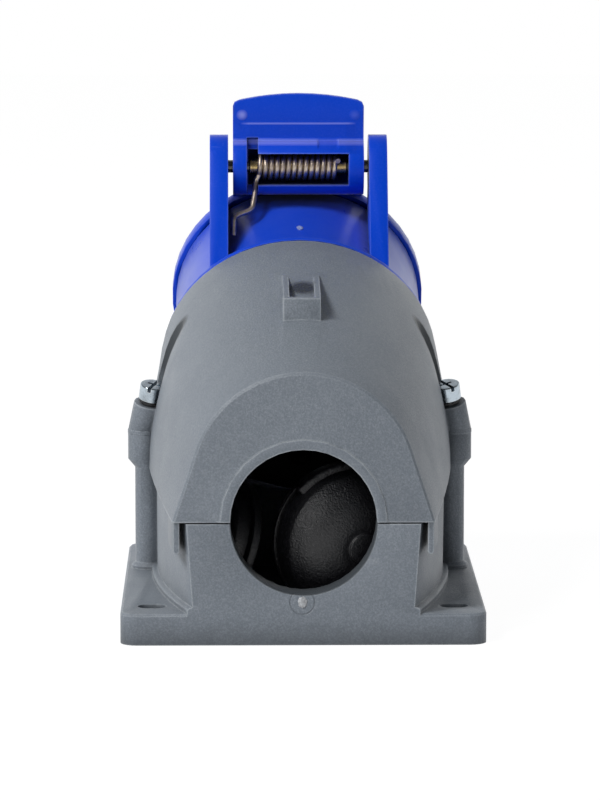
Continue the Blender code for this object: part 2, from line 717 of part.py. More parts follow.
def make_tongue(side):
    """A short guide tongue that hangs from the cover's front corner, outside the base."""
    rings = []
    steps = 4
    for i in range(steps + 1):
        y = FRONT_Y + 1.6 * COVER_EDGE + TONGUE_DEPTH * i / steps
        outer = cover_half_width(y) - 0.7 * COVER_EDGE
        top = parting_height(y) + TONGUE_WALL / 2
        foot = parting_height(y) - TONGUE_LENGTH
        middle = outer - TONGUE_WALL / 2
        outline = [(outer, top)]
        outline += [(middle + TONGUE_WALL / 2 * math.cos(a), foot + TONGUE_WALL / 2 * math.sin(a))
                    for a in (0, -math.pi / 4, -math.pi / 2, -3 * math.pi / 4, -math.pi)]
        outline.append((outer - TONGUE_WALL, top))
        rings.append([(side * x, y, z) for x, z in outline])
    return add_object("tongue_form", loft(rings))


def cover_top(y):
    """Height of the cover's crown: a straight line from the front arch to the rim."""
    crown_y = RIM_Y - RIM_RADIUS * math.sin(SOCKET_TILT)
    crown_z = RIM_Z + RIM_RADIUS * math.cos(SOCKET_TILT)
    front_z = ARCH_HEIGHT + ARCH_RADIUS
    return front_z + (crown_z - front_z) * (y - FRONT_Y) / (crown_y - FRONT_Y)


def make_pocket(cover):
    """A wedge on the crown with a slot that is open above and behind."""
    front = POCKET_FRONT_Y
    rear = front + POCKET_LENGTH
    half = POCKET_WIDTH / 2
    sunk = COVER_WALL / 2
    side = [(front, cover_top(front) - sunk), (rear, cover_top(rear) - sunk),
            (rear, cover_top(rear) + GAP), (front, cover_top(front) + POCKET_FRONT_HEIGHT)]
    wedge = prism(side, -half - POCKET_WALL, half + POCKET_WALL, along_x)
    join(cover, add_object("pocket_form", wedge))
    slot_front = front + POCKET_WALL
    floor = 2 * GAP
    opening = [(slot_front, cover_top(slot_front) + floor),
               (rear + OVERLAP, cover_top(rear + OVERLAP) + floor),
               (rear + OVERLAP, cover_top(rear) + 2 * POCKET_FRONT_HEIGHT),
               (slot_front, cover_top(front) + 2 * POCKET_FRONT_HEIGHT)]
    cut(cover, add_object("pocket_slot", prism(opening, -half, half, along_x)))


# Cover screws and seals

def make_cover_screw(name, finish, frame):
    seat = SCREW_SEAL_HEIGHT + 2 * GAP
    top = seat + SCREW_HEAD_HEIGHT
    edge = 0.4 * MM
    profile = [(-SCREW_LENGTH, 0), (-SCREW_LENGTH, SCREW_RADIUS - edge),
               (-SCREW_LENGTH + edge, SCREW_RADIUS), (seat, SCREW_RADIUS),
               (seat, SCREW_HEAD_RADIUS), (top - edge, SCREW_HEAD_RADIUS),
               (top, SCREW_HEAD_RADIUS - edge), (top, 0)]
    screw = add_object(name, turned(profile, BORE_STEPS), finish, frame)
    depth = SCREW_HEAD_HEIGHT * 0.4
    slot = box((-SCREW_HEAD_RADIUS - OVERLAP, top - depth, -SCREW_SLOT / 2),
               (SCREW_HEAD_RADIUS + OVERLAP, top + OVERLAP, SCREW_SLOT / 2))
    cut(screw, add_object(name + "_slot", slot, frame=frame))
    return screw


def make_screw_seal(name, finish, frame):
    made = tube(GAP, GAP + SCREW_SEAL_HEIGHT, SCREW_RADIUS + GAP, SCREW_HEAD_RADIUS - GAP, BORE_STEPS)
    return add_object(name, made, finish, frame)


def strip_form(side, grow, rise):
    """A straight-sided strip along the base's side wall, under the parting plane."""
    rings = []
    steps = 8
    for i in range(steps + 1):
        y = STRIP_FRONT_Y - grow + (STRIP_REAR_Y - STRIP_FRONT_Y + 2 * grow) * i / steps
        middle = base_half_width(y) - BASE_WALL / 2
        top = parting_height(y) - GAP + rise
        foot = parting_height(y) - GAP - STRIP_HEIGHT - grow
        half = STRIP_WIDTH / 2 + grow / 2
        outline = [(middle + half, top), (middle + half, foot), (middle - half, foot), (middle - half, top)]
        rings.append([(side * x, y, z) for x, z in outline])
    return loft(rings)


# Blue socket body with the lid's ears

def make_socket_body(finish, frame, hinge_frame):
    barrel = OPENING_RADIUS - 2 * GAP
    floor_bore = CARRIER_RADIUS + GAP
    lip = 0.5 * MM
    profile = [(BODY_FLOOR_BOTTOM, floor_bore), (BODY_FLOOR_BOTTOM, barrel),
               (FLANGE_BOTTOM_S, barrel), (FLANGE_BOTTOM_S, BODY_FLANGE_RADIUS),
               (COLLAR_START - lip, BODY_FLANGE_RADIUS), (COLLAR_START, BODY_FLANGE_RADIUS - lip),
               (COLLAR_START, COLLAR_RADIUS + lip), (COLLAR_START + lip, COLLAR_RADIUS),
               (COLLAR_MOUTH - lip, COLLAR_RADIUS), (COLLAR_MOUTH, COLLAR_RADIUS - lip),
               (COLLAR_MOUTH, COLLAR_BORE + lip), (COLLAR_MOUTH - lip, COLLAR_BORE),
               (COLLAR_START, COLLAR_BORE), (FLANGE_BOTTOM_S, barrel - COVER_WALL),
               (BODY_FLOOR_TOP, barrel - COVER_WALL), (BODY_FLOOR_TOP, floor_bore)]
    body = add_object("socket_body", turned(profile, COLLAR_STEPS), finish, frame)

    for i in range(HOOK_COUNT):
        angle = 2 * math.pi * (i + 0.5) / HOOK_COUNT
        top = -COVER_REAR_WALL - GAP
        side = [(top, barrel - OVERLAP), (top, barrel + HOOK_REACH),
                (top - HOOK_HEIGHT, barrel - OVERLAP / 4), (top - HOOK_HEIGHT, barrel - OVERLAP)]
        hook = prism(side, -HOOK_WIDTH / 2, HOOK_WIDTH / 2, along_x)
        turn = Matrix.Rotation(angle, 3, "Y")
        bmesh.ops.rotate(hook, verts=hook.verts, cent=(0, 0, 0), matrix=turn)
        join(body, add_object("hook_form", hook, frame=frame))

    # Keyway for the plug, opposite the hinge, with its own bulge on the outside
    half = KEYWAY_WIDTH / 2
    bulge = box((-half - KEYWAY_WALL, COLLAR_START - lip, -COLLAR_BORE - KEYWAY_DEPTH - KEYWAY_WALL),
                (half + KEYWAY_WALL, COLLAR_MOUTH, -COLLAR_BORE - OVERLAP))
    join(body, add_object("keyway_form", bulge, frame=frame))
    groove = box((-half, COLLAR_START, -COLLAR_BORE - KEYWAY_DEPTH),
                 (half, COLLAR_MOUTH + OVERLAP, -COLLAR_BORE + 4 * OVERLAP))
    cut(body, add_object("keyway_groove", groove, frame=frame))

    for side in (-1, 1):
        join(body, make_lid_ear(side, frame))
        seat = EAR_INNER + PIN_SEAT
        radius = PIN_RADIUS + GAP
        outline = arc(0, 0, radius, 0, 360, SMALL_STEPS)[:-1]
        hole = prism(outline, side * (EAR_INNER - OVERLAP), side * seat, along_x)
        cut(body, add_object("pin_seat", hole, frame=hinge_frame))
    return body


def make_lid_ear(side, frame):
    """An ear that rises from the flange: a sloping front edge, a round top over the hinge."""
    centre = (HINGE_ALONG, HINGE_UP)
    foot = COLLAR_START - GAP
    low = math.sqrt(COLLAR_RADIUS ** 2 - EAR_OUTER ** 2) - 2 * OVERLAP
    foot_high = math.sqrt(BODY_FLANGE_RADIUS ** 2 - EAR_OUTER ** 2)
    reach = math.hypot(centre[0] - foot, centre[1] - foot_high)
    lean = math.degrees(math.atan2(centre[1] - foot_high, centre[0] - foot))
    tangent = math.degrees(math.acos(EAR_TOP_RADIUS / reach))
    outline = [(foot, low), (foot, foot_high)]
    rear = COLLAR_MOUTH - GAP
    last = -math.degrees(math.acos((rear - centre[0]) / EAR_TOP_RADIUS))
    outline += arc(*centre, EAR_TOP_RADIUS, lean + 180 - tangent, last, 14)
    outline.append((rear, low))
    ear = add_object("lid_ear_form", prism(outline, side * EAR_INNER, side * EAR_OUTER, along_x),
                     frame=frame)
    trim = disc(COLLAR_START - OVERLAP, COLLAR_MOUTH + OVERLAP, (COLLAR_BORE + COLLAR_RADIUS) / 2, COLLAR_STEPS)
    cut(ear, add_object("ear_trim", trim, frame=frame))
    return ear


# Lid, in the hinge's frame: Y along the socket axis, Z away from it

def make_lid(finish, frame):
    seat = LID_SEAT - HINGE_ALONG
    skirt_top = seat + LID_SKIRT
    face = skirt_top + LID_WALL
    edge = 0.8 * MM
    inner = LID_RADIUS - LID_SKIRT_WALL
    profile = [(face + LID_DOME, 0)]
    dome_steps = 4
    for i in range(dome_steps + 1):
        radius = (LID_RADIUS - edge) * (0.4 + 0.6 * i / dome_steps)
        fall = (radius / (LID_RADIUS - edge)) ** 2
        profile.append((face + LID_DOME * (1 - fall), radius))
    profile += [(face - edge, LID_RADIUS), (seat, LID_RADIUS), (seat, inner),
                (skirt_top, inner), (skirt_top, 0)]
    shell = turned(profile, COLLAR_STEPS)
    bmesh.ops.translate(shell, verts=shell.verts, vec=(0, 0, -HINGE_UP))
    lid = add_object("lid", shell, finish, frame)

    ring = arc(0, 0, BARREL_RADIUS, 0, 360, BARREL_STEPS)[:-1]
    barrel = prism(ring, -BARREL_HALF, BARREL_HALF, along_x)
    join(lid, add_object("barrel_form", barrel, frame=frame))

    # The neck that carries the barrel stands clear of the collar's mouth
    neck_low = -HINGE_UP + LID_RADIUS - 6 * OVERLAP
    rim_low = -HINGE_UP + LID_RADIUS - LID_SKIRT_WALL / 2
    plate = skirt_top + LID_WALL / 4
    neck = [(seat, 0), (seat, rim_low), (plate, rim_low), (plate, neck_low),
            (face - edge / 2, neck_low), (face - edge / 2, -BARREL_RADIUS / 2),
            (BARREL_RADIUS * 0.8, BARREL_RADIUS * 0.5), (0, BARREL_RADIUS * 0.8)]
    join(lid, add_object("neck_form", prism(neck, -BARREL_HALF, BARREL_HALF, along_x), frame=frame))
    join(lid, make_tab(frame))

    nose_top = skirt_top + OVERLAP / 2
    nose_z = -HINGE_UP + math.sqrt((SEAL_INNER - GAP) ** 2 - (NOSE_WIDTH / 2) ** 2)
    nose = [(nose_top, nose_z - 4 * OVERLAP), (nose_top, nose_z),
            (seat - NOSE_REACH, nose_z), (seat - NOSE_REACH, nose_z - OVERLAP)]
    join(lid, add_object("nose_form", prism(nose, -NOSE_WIDTH / 2, NOSE_WIDTH / 2, along_x), frame=frame))

    cut_spring_window(lid, frame)
    outline = arc(0, 0, PIN_RADIUS + GAP, 0, 360, SMALL_STEPS)[:-1]
    bore = prism(outline, -BARREL_HALF - OVERLAP, BARREL_HALF + OVERLAP, along_x)
    cut(lid, add_object("barrel_bore", bore, frame=frame))
    return lid


def make_tab(frame):
    """The press tab: it stands up from the barrel and bends a little to the cable side."""
    lean = math.cos(SOCKET_TILT), math.sin(SOCKET_TILT)
    steps = TAB_STEPS
    levels = (BARREL_RADIUS * 0.3, BARREL_RADIUS * 1.05, TAB_BEND_HEIGHT)
    columns = []
    for i in range(steps + 1):
        x = -BARREL_HALF * math.cos(math.pi * i / steps)
        outside = max(0.0, abs(x) - BARREL_HALF + TAB_CORNER)
        corner = TAB_CORNER - math.sqrt(TAB_CORNER ** 2 - outside ** 2)
        crown = TAB_HEIGHT - TAB_CORNER_DROP * (x / BARREL_HALF) ** 2 - corner
        front = []
        rear = []
        for height, bend in ((levels[0], 0.0), (levels[1], 0.0), (levels[2], 0.35), (crown, 1.0)):
            depth = -BARREL_RADIUS * 0.35 - TAB_BEND * bend
            thickness = TAB_WALL * (1.25 if height == levels[0] else 1.0)
            front.append((depth, height))
            rear.append((depth + thickness, height))
        outline = front + rear[::-1]
        column = []
        for depth, height in outline:
            along = depth * lean[0] + height * lean[1]
            up = -depth * lean[1] + height * lean[0]
            column.append((x, along, up))
        columns.append(column)
    return add_object("tab_form", loft(columns), frame=frame)


def cut_spring_window(lid, frame):
    """The barrel is hollow round the coil and open to the cable side, with a slot for the leg."""
    turn = Matrix.Rotation(-SOCKET_TILT, 3, "X")
    window = box((-WINDOW_HALF, -BARREL_RADIUS - 3 * OVERLAP, -WINDOW_BELOW),
                 (WINDOW_HALF, 0, WINDOW_ABOVE))
    bmesh.ops.rotate(window, verts=window.verts, cent=(0, 0, 0), matrix=turn)
    cut(lid, add_object("spring_window", window, frame=frame))
    room = prism(arc(0, 0, SPRING_ROOM, 0, 360, BORE_STEPS)[:-1], -WINDOW_HALF, WINDOW_HALF, along_x)
    cut(lid, add_object("spring_room", room, frame=frame))
    slot_low = -WINDOW_HALF - GAP
    slot = box((slot_low, -BARREL_RADIUS - 3 * OVERLAP, -BARREL_RADIUS - OVERLAP),
               (slot_low + LEG_SLOT_WIDTH, -BARREL_RADIUS * 0.2, BARREL_RADIUS * 1.05))
    bmesh.ops.rotate(slot, verts=slot.verts, cent=(0, 0, 0), matrix=turn)
    cut(lid, add_object("leg_slot", slot, frame=frame))


def make_lid_seal(finish, frame):
    low = LID_SEAT - HINGE_ALONG
    outer = LID_RADIUS - LID_SKIRT_WALL - GAP
    made = turned([(low, SEAL_INNER), (low, outer), (low + SEAL_HEIGHT, outer),
                   (low + SEAL_HEIGHT, SEAL_INNER)], COLLAR_STEPS)
    bmesh.ops.translate(made, verts=made.verts, vec=(0, 0, -HINGE_UP))
    return add_object("lid_seal", made, finish, frame)


def make_hinge_pin(finish, frame):
    half = EAR_INNER + PIN_SEAT - GAP
    edge = 0.4 * MM
    rings = []
    for x, radius in ((-half, PIN_RADIUS - edge), (-half + edge, PIN_RADIUS),
                      (half - edge, PIN_RADIUS), (half, PIN_RADIUS - edge)):
        rings.append([(x, a, b) for a, b in arc(0, 0, radius, 0, 360, SMALL_STEPS)[:-1]])
    return add_object("hinge_pin", loft(rings), finish, frame)


def spring_path():
    """Middle line of the spring: the leg on the collar, the coil, the leg in the lid."""
    steps = COIL_STEPS
    start_angle = math.radians(200.0)
    coil = []
    for i in range(COIL_TURNS * steps + 1):
        angle = start_angle - 2 * math.pi * i / steps
        x = COIL_START_X + COIL_LENGTH * i / (COIL_TURNS * steps)
        coil.append(Vector((x, COIL_RADIUS * math.cos(angle), COIL_RADIUS * math.sin(angle))))
    first = coil[0]
    inner_wall = -EAR_INNER + 2 * WIRE_RADIUS
    floor = COLLAR_RADIUS - HINGE_UP
    rest = math.sqrt(COLLAR_RADIUS ** 2 - inner_wall ** 2) - HINGE_UP + WIRE_RADIUS + 2 * GAP
    leg_x = -WINDOW_HALF - GAP + LEG_SLOT_WIDTH / 2
    knee = Vector((leg_x, first.y - LEG_KNEE[0], floor + LEG_KNEE[1]))
    drop = Vector((leg_x, first.y - LEG_DROP[0], floor + LEG_DROP[1]))
    bend = Vector((inner_wall, first.y - LEG_BEND[0], floor + LEG_BEND[1]))
    tip = Vector((inner_wall, first.y - LEG_LENGTH, rest + WIRE_RADIUS))
    last = coil[-1]
    lid_leg = last + Vector(LID_LEG)
    return [tip, bend, drop, knee] + coil + [lid_leg]


def make_spring(finish, frame):
    """Round wire swept along the spring's path, with each ring turned as little as possible."""
    path = spring_path()
    side = Vector((0, 0, 1))
    rings = []
    for i, point in enumerate(path):
        before = path[max(i - 1, 0)]
        after = path[min(i + 1, len(path) - 1)]
        along = (after - before).normalized()
        side = (side - along * side.dot(along)).normalized()
        other = along.cross(side)
        ring = []
        for j in range(WIRE_STEPS):
            angle = 2 * math.pi * j / WIRE_STEPS
            ring.append(point + (side * math.cos(angle) + other * math.sin(angle)) * WIRE_RADIUS)
        rings.append(ring)
    return add_object("torsion_spring", loft(rings), finish, frame)


# Contacts

def contact_layout():
    """Name, angle from the keyway side and pin radius of each contact."""
    return (("earth", 180.0, EARTH_PIN_RADIUS), ("line", 60.0, POLE_PIN_RADIUS),
            ("neutral", -60.0, POLE_PIN_RADIUS))


def contact_centre(angle):
    turn = math.radians(angle)
    return Vector((PITCH_RADIUS * math.sin(turn), 0, PITCH_RADIUS * math.cos(turn)))


def moved(made, offset):
    bmesh.ops.translate(made, verts=made.verts, vec=offset)
    return made


def make_carrier(finish, frame):
    edge = 0.8 * MM
    low = SHOULDER_TOP - SHOULDER_HEIGHT
    profile = [(low, 0), (low, SHOULDER_RADIUS), (SHOULDER_TOP, SHOULDER_RADIUS),
               (SHOULDER_TOP, CARRIER_RADIUS), (CARRIER_FACE - edge, CARRIER_RADIUS),
               (CARRIER_FACE, CARRIER_RADIUS - edge), (CARRIER_FACE, 0)]
    carrier = add_object("contact_carrier", turned(profile), finish, frame)
    for name, angle, pin in contact_layout():
        centre = contact_centre(angle)
        sleeve = pin + SLEEVE_WALL + GAP
        room = moved(disc(low - OVERLAP, CARRIER_FACE - CARRIER_NOSE, sleeve, BORE_STEPS), centre)
        cut(carrier, add_object(name + "_room", room, frame=frame))
        mouth = moved(disc(0, CARRIER_FACE + OVERLAP, pin + GAP, BORE_STEPS), centre)
        cut(carrier, add_object(name + "_mouth", mouth, frame=frame))
    depth = BLOCK_BOTTOM + CENTRE_SCREW_LENGTH
    thread = disc(low - OVERLAP, depth + OVERLAP, CENTRE_SCREW_RADIUS + GAP, SMALL_STEPS)
    cut(carrier, add_object("carrier_thread", thread, frame=frame))
    return carrier


def terminal_matrix(angle):
    """Frame of a terminal screw: Y leads out of the block, the origin is on the contact's axis."""
    turn = math.radians(angle)
    out = Vector((math.sin(turn), 0, math.cos(turn)))
    side = Vector((0, 1, 0))
    third = side.cross(out)
    matrix = Matrix((side, out, -third)).transposed().to_4x4()
    middle = BLOCK_TOP - BLOCK_HEIGHT / 2
    centre = contact_centre(angle)
    return Matrix.Translation((centre.x, middle, centre.z)) @ matrix


def make_block(finish, frame, terminal_frames):
    profile = [(BLOCK_BOTTOM, 0), (BLOCK_BOTTOM, BLOCK_RADIUS - BLOCK_EDGE)]
    edge_steps = 5
    for i in range(1, edge_steps + 1):
        angle = math.pi / 2 * i / edge_steps
        profile.append((BLOCK_BOTTOM + BLOCK_EDGE * (1 - math.cos(angle)),
                        BLOCK_RADIUS - BLOCK_EDGE * (1 - math.sin(angle))))
    profile += [(BLOCK_TOP, BLOCK_RADIUS), (BLOCK_TOP, 0)]
    block = add_object("terminal_block", turned(profile), finish, frame)
    for name, angle, pin in contact_layout():
        centre = contact_centre(angle)
        outer = pin + SLEEVE_WALL + GAP
        room = moved(disc(BLOCK_BOTTOM + CARRIER_NOSE - GAP, BLOCK_TOP + OVERLAP, outer, BORE_STEPS), centre)
        cut(block, add_object(name + "_chamber", room, frame=frame))
        entry = moved(disc(BLOCK_BOTTOM - OVERLAP, BLOCK_TOP, WIRE_ENTRY_RADIUS + GAP, SMALL_STEPS), centre)
        cut(block, add_object(name + "_wire_entry", entry, frame=frame))
        hole = disc(outer - OVERLAP, BLOCK_RADIUS, TERMINAL_SCREW_RADIUS + GAP, SMALL_STEPS)
        cut(block, add_object(name + "_screw_hole", hole, frame=terminal_frames[name]))
    through = disc(BLOCK_BOTTOM - OVERLAP, BLOCK_TOP + OVERLAP, CENTRE_SCREW_RADIUS + GAP, SMALL_STEPS)
    cut(block, add_object("block_bore", through, frame=frame))
    return block


def make_sleeve(name, angle, pin, finish, frame):
    """Contact sleeve with a pin bore in front and a wire bore behind."""
    low = BLOCK_BOTTOM + CARRIER_NOSE
    high = CARRIER_FACE - CARRIER_NOSE - GAP
    outer = pin + SLEEVE_WALL
    pin_end = BLOCK_TOP + 2 * OVERLAP
    solid = disc(low, high, outer, BORE_STEPS)
    sleeve = add_object(name + "_sleeve", moved(solid, contact_centre(angle)), finish, frame)
    wire = moved(disc(low - OVERLAP, low + WIRE_DEPTH, WIRE_ENTRY_RADIUS, SMALL_STEPS),
                 contact_centre(angle))
    cut(sleeve, add_object(name + "_wire_bore", wire, frame=frame))
    bore = moved(disc(pin_end, high + OVERLAP, pin, BORE_STEPS), contact_centre(angle))
    cut(sleeve, add_object(name + "_pin_bore", bore, frame=frame))
    return sleeve


def make_terminal_screw(name, pin, finish, frame):
    low = pin + SLEEVE_WALL + GAP
    high = low + TERMINAL_SCREW_LENGTH
    screw = add_object(name + "_terminal_screw", disc(low, high, TERMINAL_SCREW_RADIUS, SMALL_STEPS),
                       finish, frame)
    slot = box((-TERMINAL_SCREW_RADIUS - OVERLAP, high - OVERLAP, -SCREW_SLOT / 3),
               (TERMINAL_SCREW_RADIUS + OVERLAP, high + OVERLAP, SCREW_SLOT / 3))
    cut(screw, add_object(name + "_screw_slot", slot, frame=frame))
    return screw


def make_centre_screw(finish, frame):
    seat = BLOCK_BOTTOM - GAP
    top = seat - CENTRE_SCREW_HEAD_HEIGHT
    profile = [(seat + CENTRE_SCREW_LENGTH, 0), (seat + CENTRE_SCREW_LENGTH, CENTRE_SCREW_RADIUS),
               (seat, CENTRE_SCREW_RADIUS), (seat, CENTRE_SCREW_HEAD), (top, CENTRE_SCREW_HEAD), (top, 0)]
    return add_object("block_screw", turned(profile, SMALL_STEPS), finish, frame)


# Loose cable grommets

def grommet_profile():
    """A membrane grommet: two lips with a groove, a hollow dome and a nipple to pierce."""
    neck = GROMMET_RADIUS - GROMMET_GROOVE
    lip = GROMMET_LIP
    groove = COVER_FRONT_WALL
    rear = 2 * lip + groove
    profile = [(rear + GROMMET_DOME + OVERLAP, 0), (rear + GROMMET_DOME + OVERLAP, NIPPLE_RADIUS),
               (rear + GROMMET_DOME, NIPPLE_RADIUS)]
    steps = 6
    crown = neck - GROMMET_GROOVE
    for i in range(1, steps + 1):
        angle = math.pi / 2 * i / steps
        radius = NIPPLE_RADIUS + (crown - NIPPLE_RADIUS) * math.sin(angle)
        profile.append((rear + GROMMET_DOME * math.cos(angle), radius))
    profile += [(rear, GROMMET_RADIUS), (lip + groove, GROMMET_RADIUS), (lip + groove, neck),
                (lip, neck), (lip, GROMMET_RADIUS), (0, GROMMET_RADIUS), (0, crown - GROMMET_WALL),
                (rear, crown - GROMMET_WALL)]
    for i in range(steps - 1, 0, -1):
        angle = math.pi / 2 * i / steps
        radius = (crown - GROMMET_WALL) * math.sin(angle)
        profile.append((rear + (GROMMET_DOME - GROMMET_WALL) * math.cos(angle), radius))
    profile.append((rear + GROMMET_DOME - GROMMET_WALL, 0))
    return profile


def plug_profile():
    neck = PLUG_RADIUS - PLUG_LIP
    return [(PLUG_HEIGHT, 0), (PLUG_HEIGHT, neck - PLUG_LIP / 2), (PLUG_HEIGHT - PLUG_LIP / 2, neck),
            (PLUG_LIP, neck), (PLUG_LIP, PLUG_RADIUS), (0, PLUG_RADIUS), (0, neck - PLUG_LIP),
            (PLUG_HEIGHT - PLUG_LIP, neck - PLUG_LIP), (PLUG_HEIGHT - PLUG_LIP, 0)]


def lying_matrix(x, y, turn, nod, profile):
    """A round piece on its edge: its Y axis faces the cable entry, turned and nodding."""
    face = Matrix.Rotation(math.pi, 4, "Z")
    matrix = Matrix.Rotation(turn, 4, "Z") @ Matrix.Rotation(nod, 4, "X") @ face
    rise = matrix.col[1].z
    reach = math.sqrt(1 - rise ** 2)
    lowest = min(along * rise - radius * reach for along, radius in profile)
    return Matrix.Translation((x, y, BASE_FLOOR + GAP - lowest)) @ matrix


def main():
    for old in list(bpy.data.objects):
        bpy.data.objects.remove(old, do_unlink=True)

    grey = material("grey_plastic", (0.16, 0.18, 0.195), 0.55)
    blue = material("blue_plastic", (0.012, 0.045, 0.5), 0.38)
    black = material("black_plastic", (0.012, 0.012, 0.014), 0.45)
    rubber = material("black_rubber", (0.014, 0.014, 0.015), 0.5)
    zinc = material("zinc_plated_steel", (0.72, 0.75, 0.78), 0.3, 1.0)
    brass = material("nickel_plated_brass", (0.75, 0.68, 0.5), 0.3, 1.0)
    steel = material("spring_steel", (0.55, 0.5, 0.45), 0.3, 1.0)

    socket_frame = empty("socket_axis", Matrix.Translation((0, RIM_Y, RIM_Z))
                         @ Matrix.Rotation(SOCKET_TILT, 4, "X"))
    hinge_frame = empty("lid_hinge_axis", Matrix.Translation((0, HINGE_ALONG, HINGE_UP)), socket_frame)
    screw_frames = {side: empty("cover_screw_axis", screw_matrix(side)) for side in (-1, 1)}
    terminal_frames = {name: empty(name + "_screw_axis", terminal_matrix(angle), socket_frame)
                       for name, angle, pin in contact_layout()}

    make_base(grey, socket_frame, screw_frames)
    make_cover(grey, socket_frame, screw_frames)
    for side, word in ((-1, "left"), (1, "right")):
        make_cover_screw("cover_screw_" + word, zinc, screw_frames[side])
        make_screw_seal("screw_seal_" + word, rubber, screw_frames[side])
        add_object("housing_seal_" + word, strip_form(side, 0.0, 0.0), rubber)

    gasket = tube(GAP, GAP + GASKET_HEIGHT, OPENING_RADIUS, GASKET_RADIUS, COLLAR_STEPS)
    add_object("socket_gasket", gasket, rubber, socket_frame)
    make_socket_body(blue, socket_frame, hinge_frame)
    make_lid(blue, hinge_frame)
    make_lid_seal(rubber, hinge_frame)
    make_hinge_pin(steel, hinge_frame)
    make_spring(steel, hinge_frame)

    make_carrier(black, socket_frame)
    make_block(black, socket_frame, terminal_frames)
    for name, angle, pin in contact_layout():
        make_sleeve(name, angle, pin, brass, socket_frame)
        make_terminal_screw(name, pin, zinc, terminal_frames[name])
    make_centre_screw(zinc, socket_frame)

    grommet_height = 2 * GROMMET_LIP + COVER_FRONT_WALL + GROMMET_DOME + OVERLAP
    grommet_frame = empty("grommet_place", lying_matrix(GROMMET_X, GROMMET_Y, GROMMET_TURN, GROMMET_NOD,
                                                     grommet_profile()))
    add_object("cable_grommet", turned(grommet_profile(), BORE_STEPS), rubber, grommet_frame)
    plug_frame = empty("plug_place", lying_matrix(PLUG_X, PLUG_Y, PLUG_TURN, PLUG_NOD,
                                                  plug_profile()))
    add_object("blanking_plug", turned(plug_profile(), BORE_STEPS), rubber, plug_frame)


main()
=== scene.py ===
# Looks for the industrial wall socket: materials, fine pieces, light and camera
import json
import math

import bmesh
import bpy
from mathutils import Matrix, Vector, noise


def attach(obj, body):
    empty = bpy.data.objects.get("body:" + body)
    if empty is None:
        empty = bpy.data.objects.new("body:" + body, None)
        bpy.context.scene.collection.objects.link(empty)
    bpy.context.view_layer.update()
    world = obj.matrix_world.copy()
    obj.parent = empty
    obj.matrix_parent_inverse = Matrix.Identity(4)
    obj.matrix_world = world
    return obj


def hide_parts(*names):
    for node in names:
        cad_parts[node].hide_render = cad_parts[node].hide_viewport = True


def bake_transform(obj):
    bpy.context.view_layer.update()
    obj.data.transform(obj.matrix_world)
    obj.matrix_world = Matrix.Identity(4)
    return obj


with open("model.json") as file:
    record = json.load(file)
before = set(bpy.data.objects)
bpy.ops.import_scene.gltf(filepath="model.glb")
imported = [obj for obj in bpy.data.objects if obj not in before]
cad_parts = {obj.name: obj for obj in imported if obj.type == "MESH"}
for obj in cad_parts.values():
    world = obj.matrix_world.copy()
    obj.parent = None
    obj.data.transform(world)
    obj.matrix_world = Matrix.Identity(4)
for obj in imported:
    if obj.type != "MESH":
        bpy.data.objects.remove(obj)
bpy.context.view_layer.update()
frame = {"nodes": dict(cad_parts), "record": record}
mm = 0.001
print("frame loaded:", len(frame["nodes"]), "nodes")


# shader groups

def newGroup(name, result, **values):
    # a group that takes a vector and plain values, and gives one value
    group = bpy.data.node_groups.new(name, "ShaderNodeTree")
    group.interface.new_socket("Vector", in_out="INPUT", socket_type="NodeSocketVector")
    for label, value in values.items():
        label = label.replace("_", " ")
        socket = group.interface.new_socket(label, in_out="INPUT", socket_type="NodeSocketFloat")
        socket.default_value = value
    group.interface.new_socket(result, in_out="OUTPUT", socket_type="NodeSocketFloat")
    into = group.nodes.new("NodeGroupInput")
    out = group.nodes.new("NodeGroupOutput")
    return group, into.outputs, into.outputs["Vector"], out.inputs[result]


def setInputs(node, **values):
    for label, value in values.items():
        node.inputs[label.replace("_", " ")].default_value = value


def endGroup(group, value, amount, result):
    group.links.new(mathNode(group, "MULTIPLY", value, amount, clamp=True), result)
    return group


def feed(tree, socket, value):
    # sets a plain value, or links another node's output
    if isinstance(value, (int, float, tuple)):
        socket.default_value = value
    elif value is not None:
        tree.links.new(value, socket)


def mathNode(tree, operation, first, second=None, clamp=False):
    node = tree.nodes.new("ShaderNodeMath")
    node.operation = operation
    node.use_clamp = clamp
    feed(tree, node.inputs[0], first)
    feed(tree, node.inputs[1], second)
    return node.outputs[0]


def times(tree, first, second):
    return mathNode(tree, "MULTIPLY", first, second)


def vectorNode(tree, operation, first, second=None):
    node = tree.nodes.new("ShaderNodeVectorMath")
    node.operation = operation
    feed(tree, node.inputs[0], first)
    feed(tree, node.inputs[1], second)
    return node.outputs


def splitPlace(tree, place):
    split = tree.nodes.new("ShaderNodeSeparateXYZ")
    tree.links.new(place, split.inputs[0])
    return split.outputs


def noiseNode(tree, vector, scale, detail=3.0, roughness=0.5, distortion=0.0):
    node = tree.nodes.new("ShaderNodeTexNoise")
    values = {"Vector": vector, "Scale": scale, "Detail": detail, "Roughness": roughness,
              "Distortion": distortion}
    for label, value in values.items():
        feed(tree, node.inputs[label], value)
    return node.outputs["Fac"]


def rangeNode(tree, value, low, high, toLow=0.0, toHigh=1.0):
    node = tree.nodes.new("ShaderNodeMapRange")
    limits = {"Value": value, "From Min": low, "From Max": high, "To Min": toLow, "To Max": toHigh}
    for label, given in limits.items():
        feed(tree, node.inputs[label], given)
    return node.outputs["Result"]


def mixColour(tree, factor, first, second):
    node = tree.nodes.new("ShaderNodeMix")
    node.data_type = "RGBA"
    for label, value in (("Factor_Float", factor), ("A_Color", first), ("B_Color", second)):
        socket = next(s for s in node.inputs if s.identifier == label)
        feed(tree, socket, (*value, 1.0) if isinstance(value, tuple) else value)
    return next(s for s in node.outputs if s.identifier == "Result_Color")


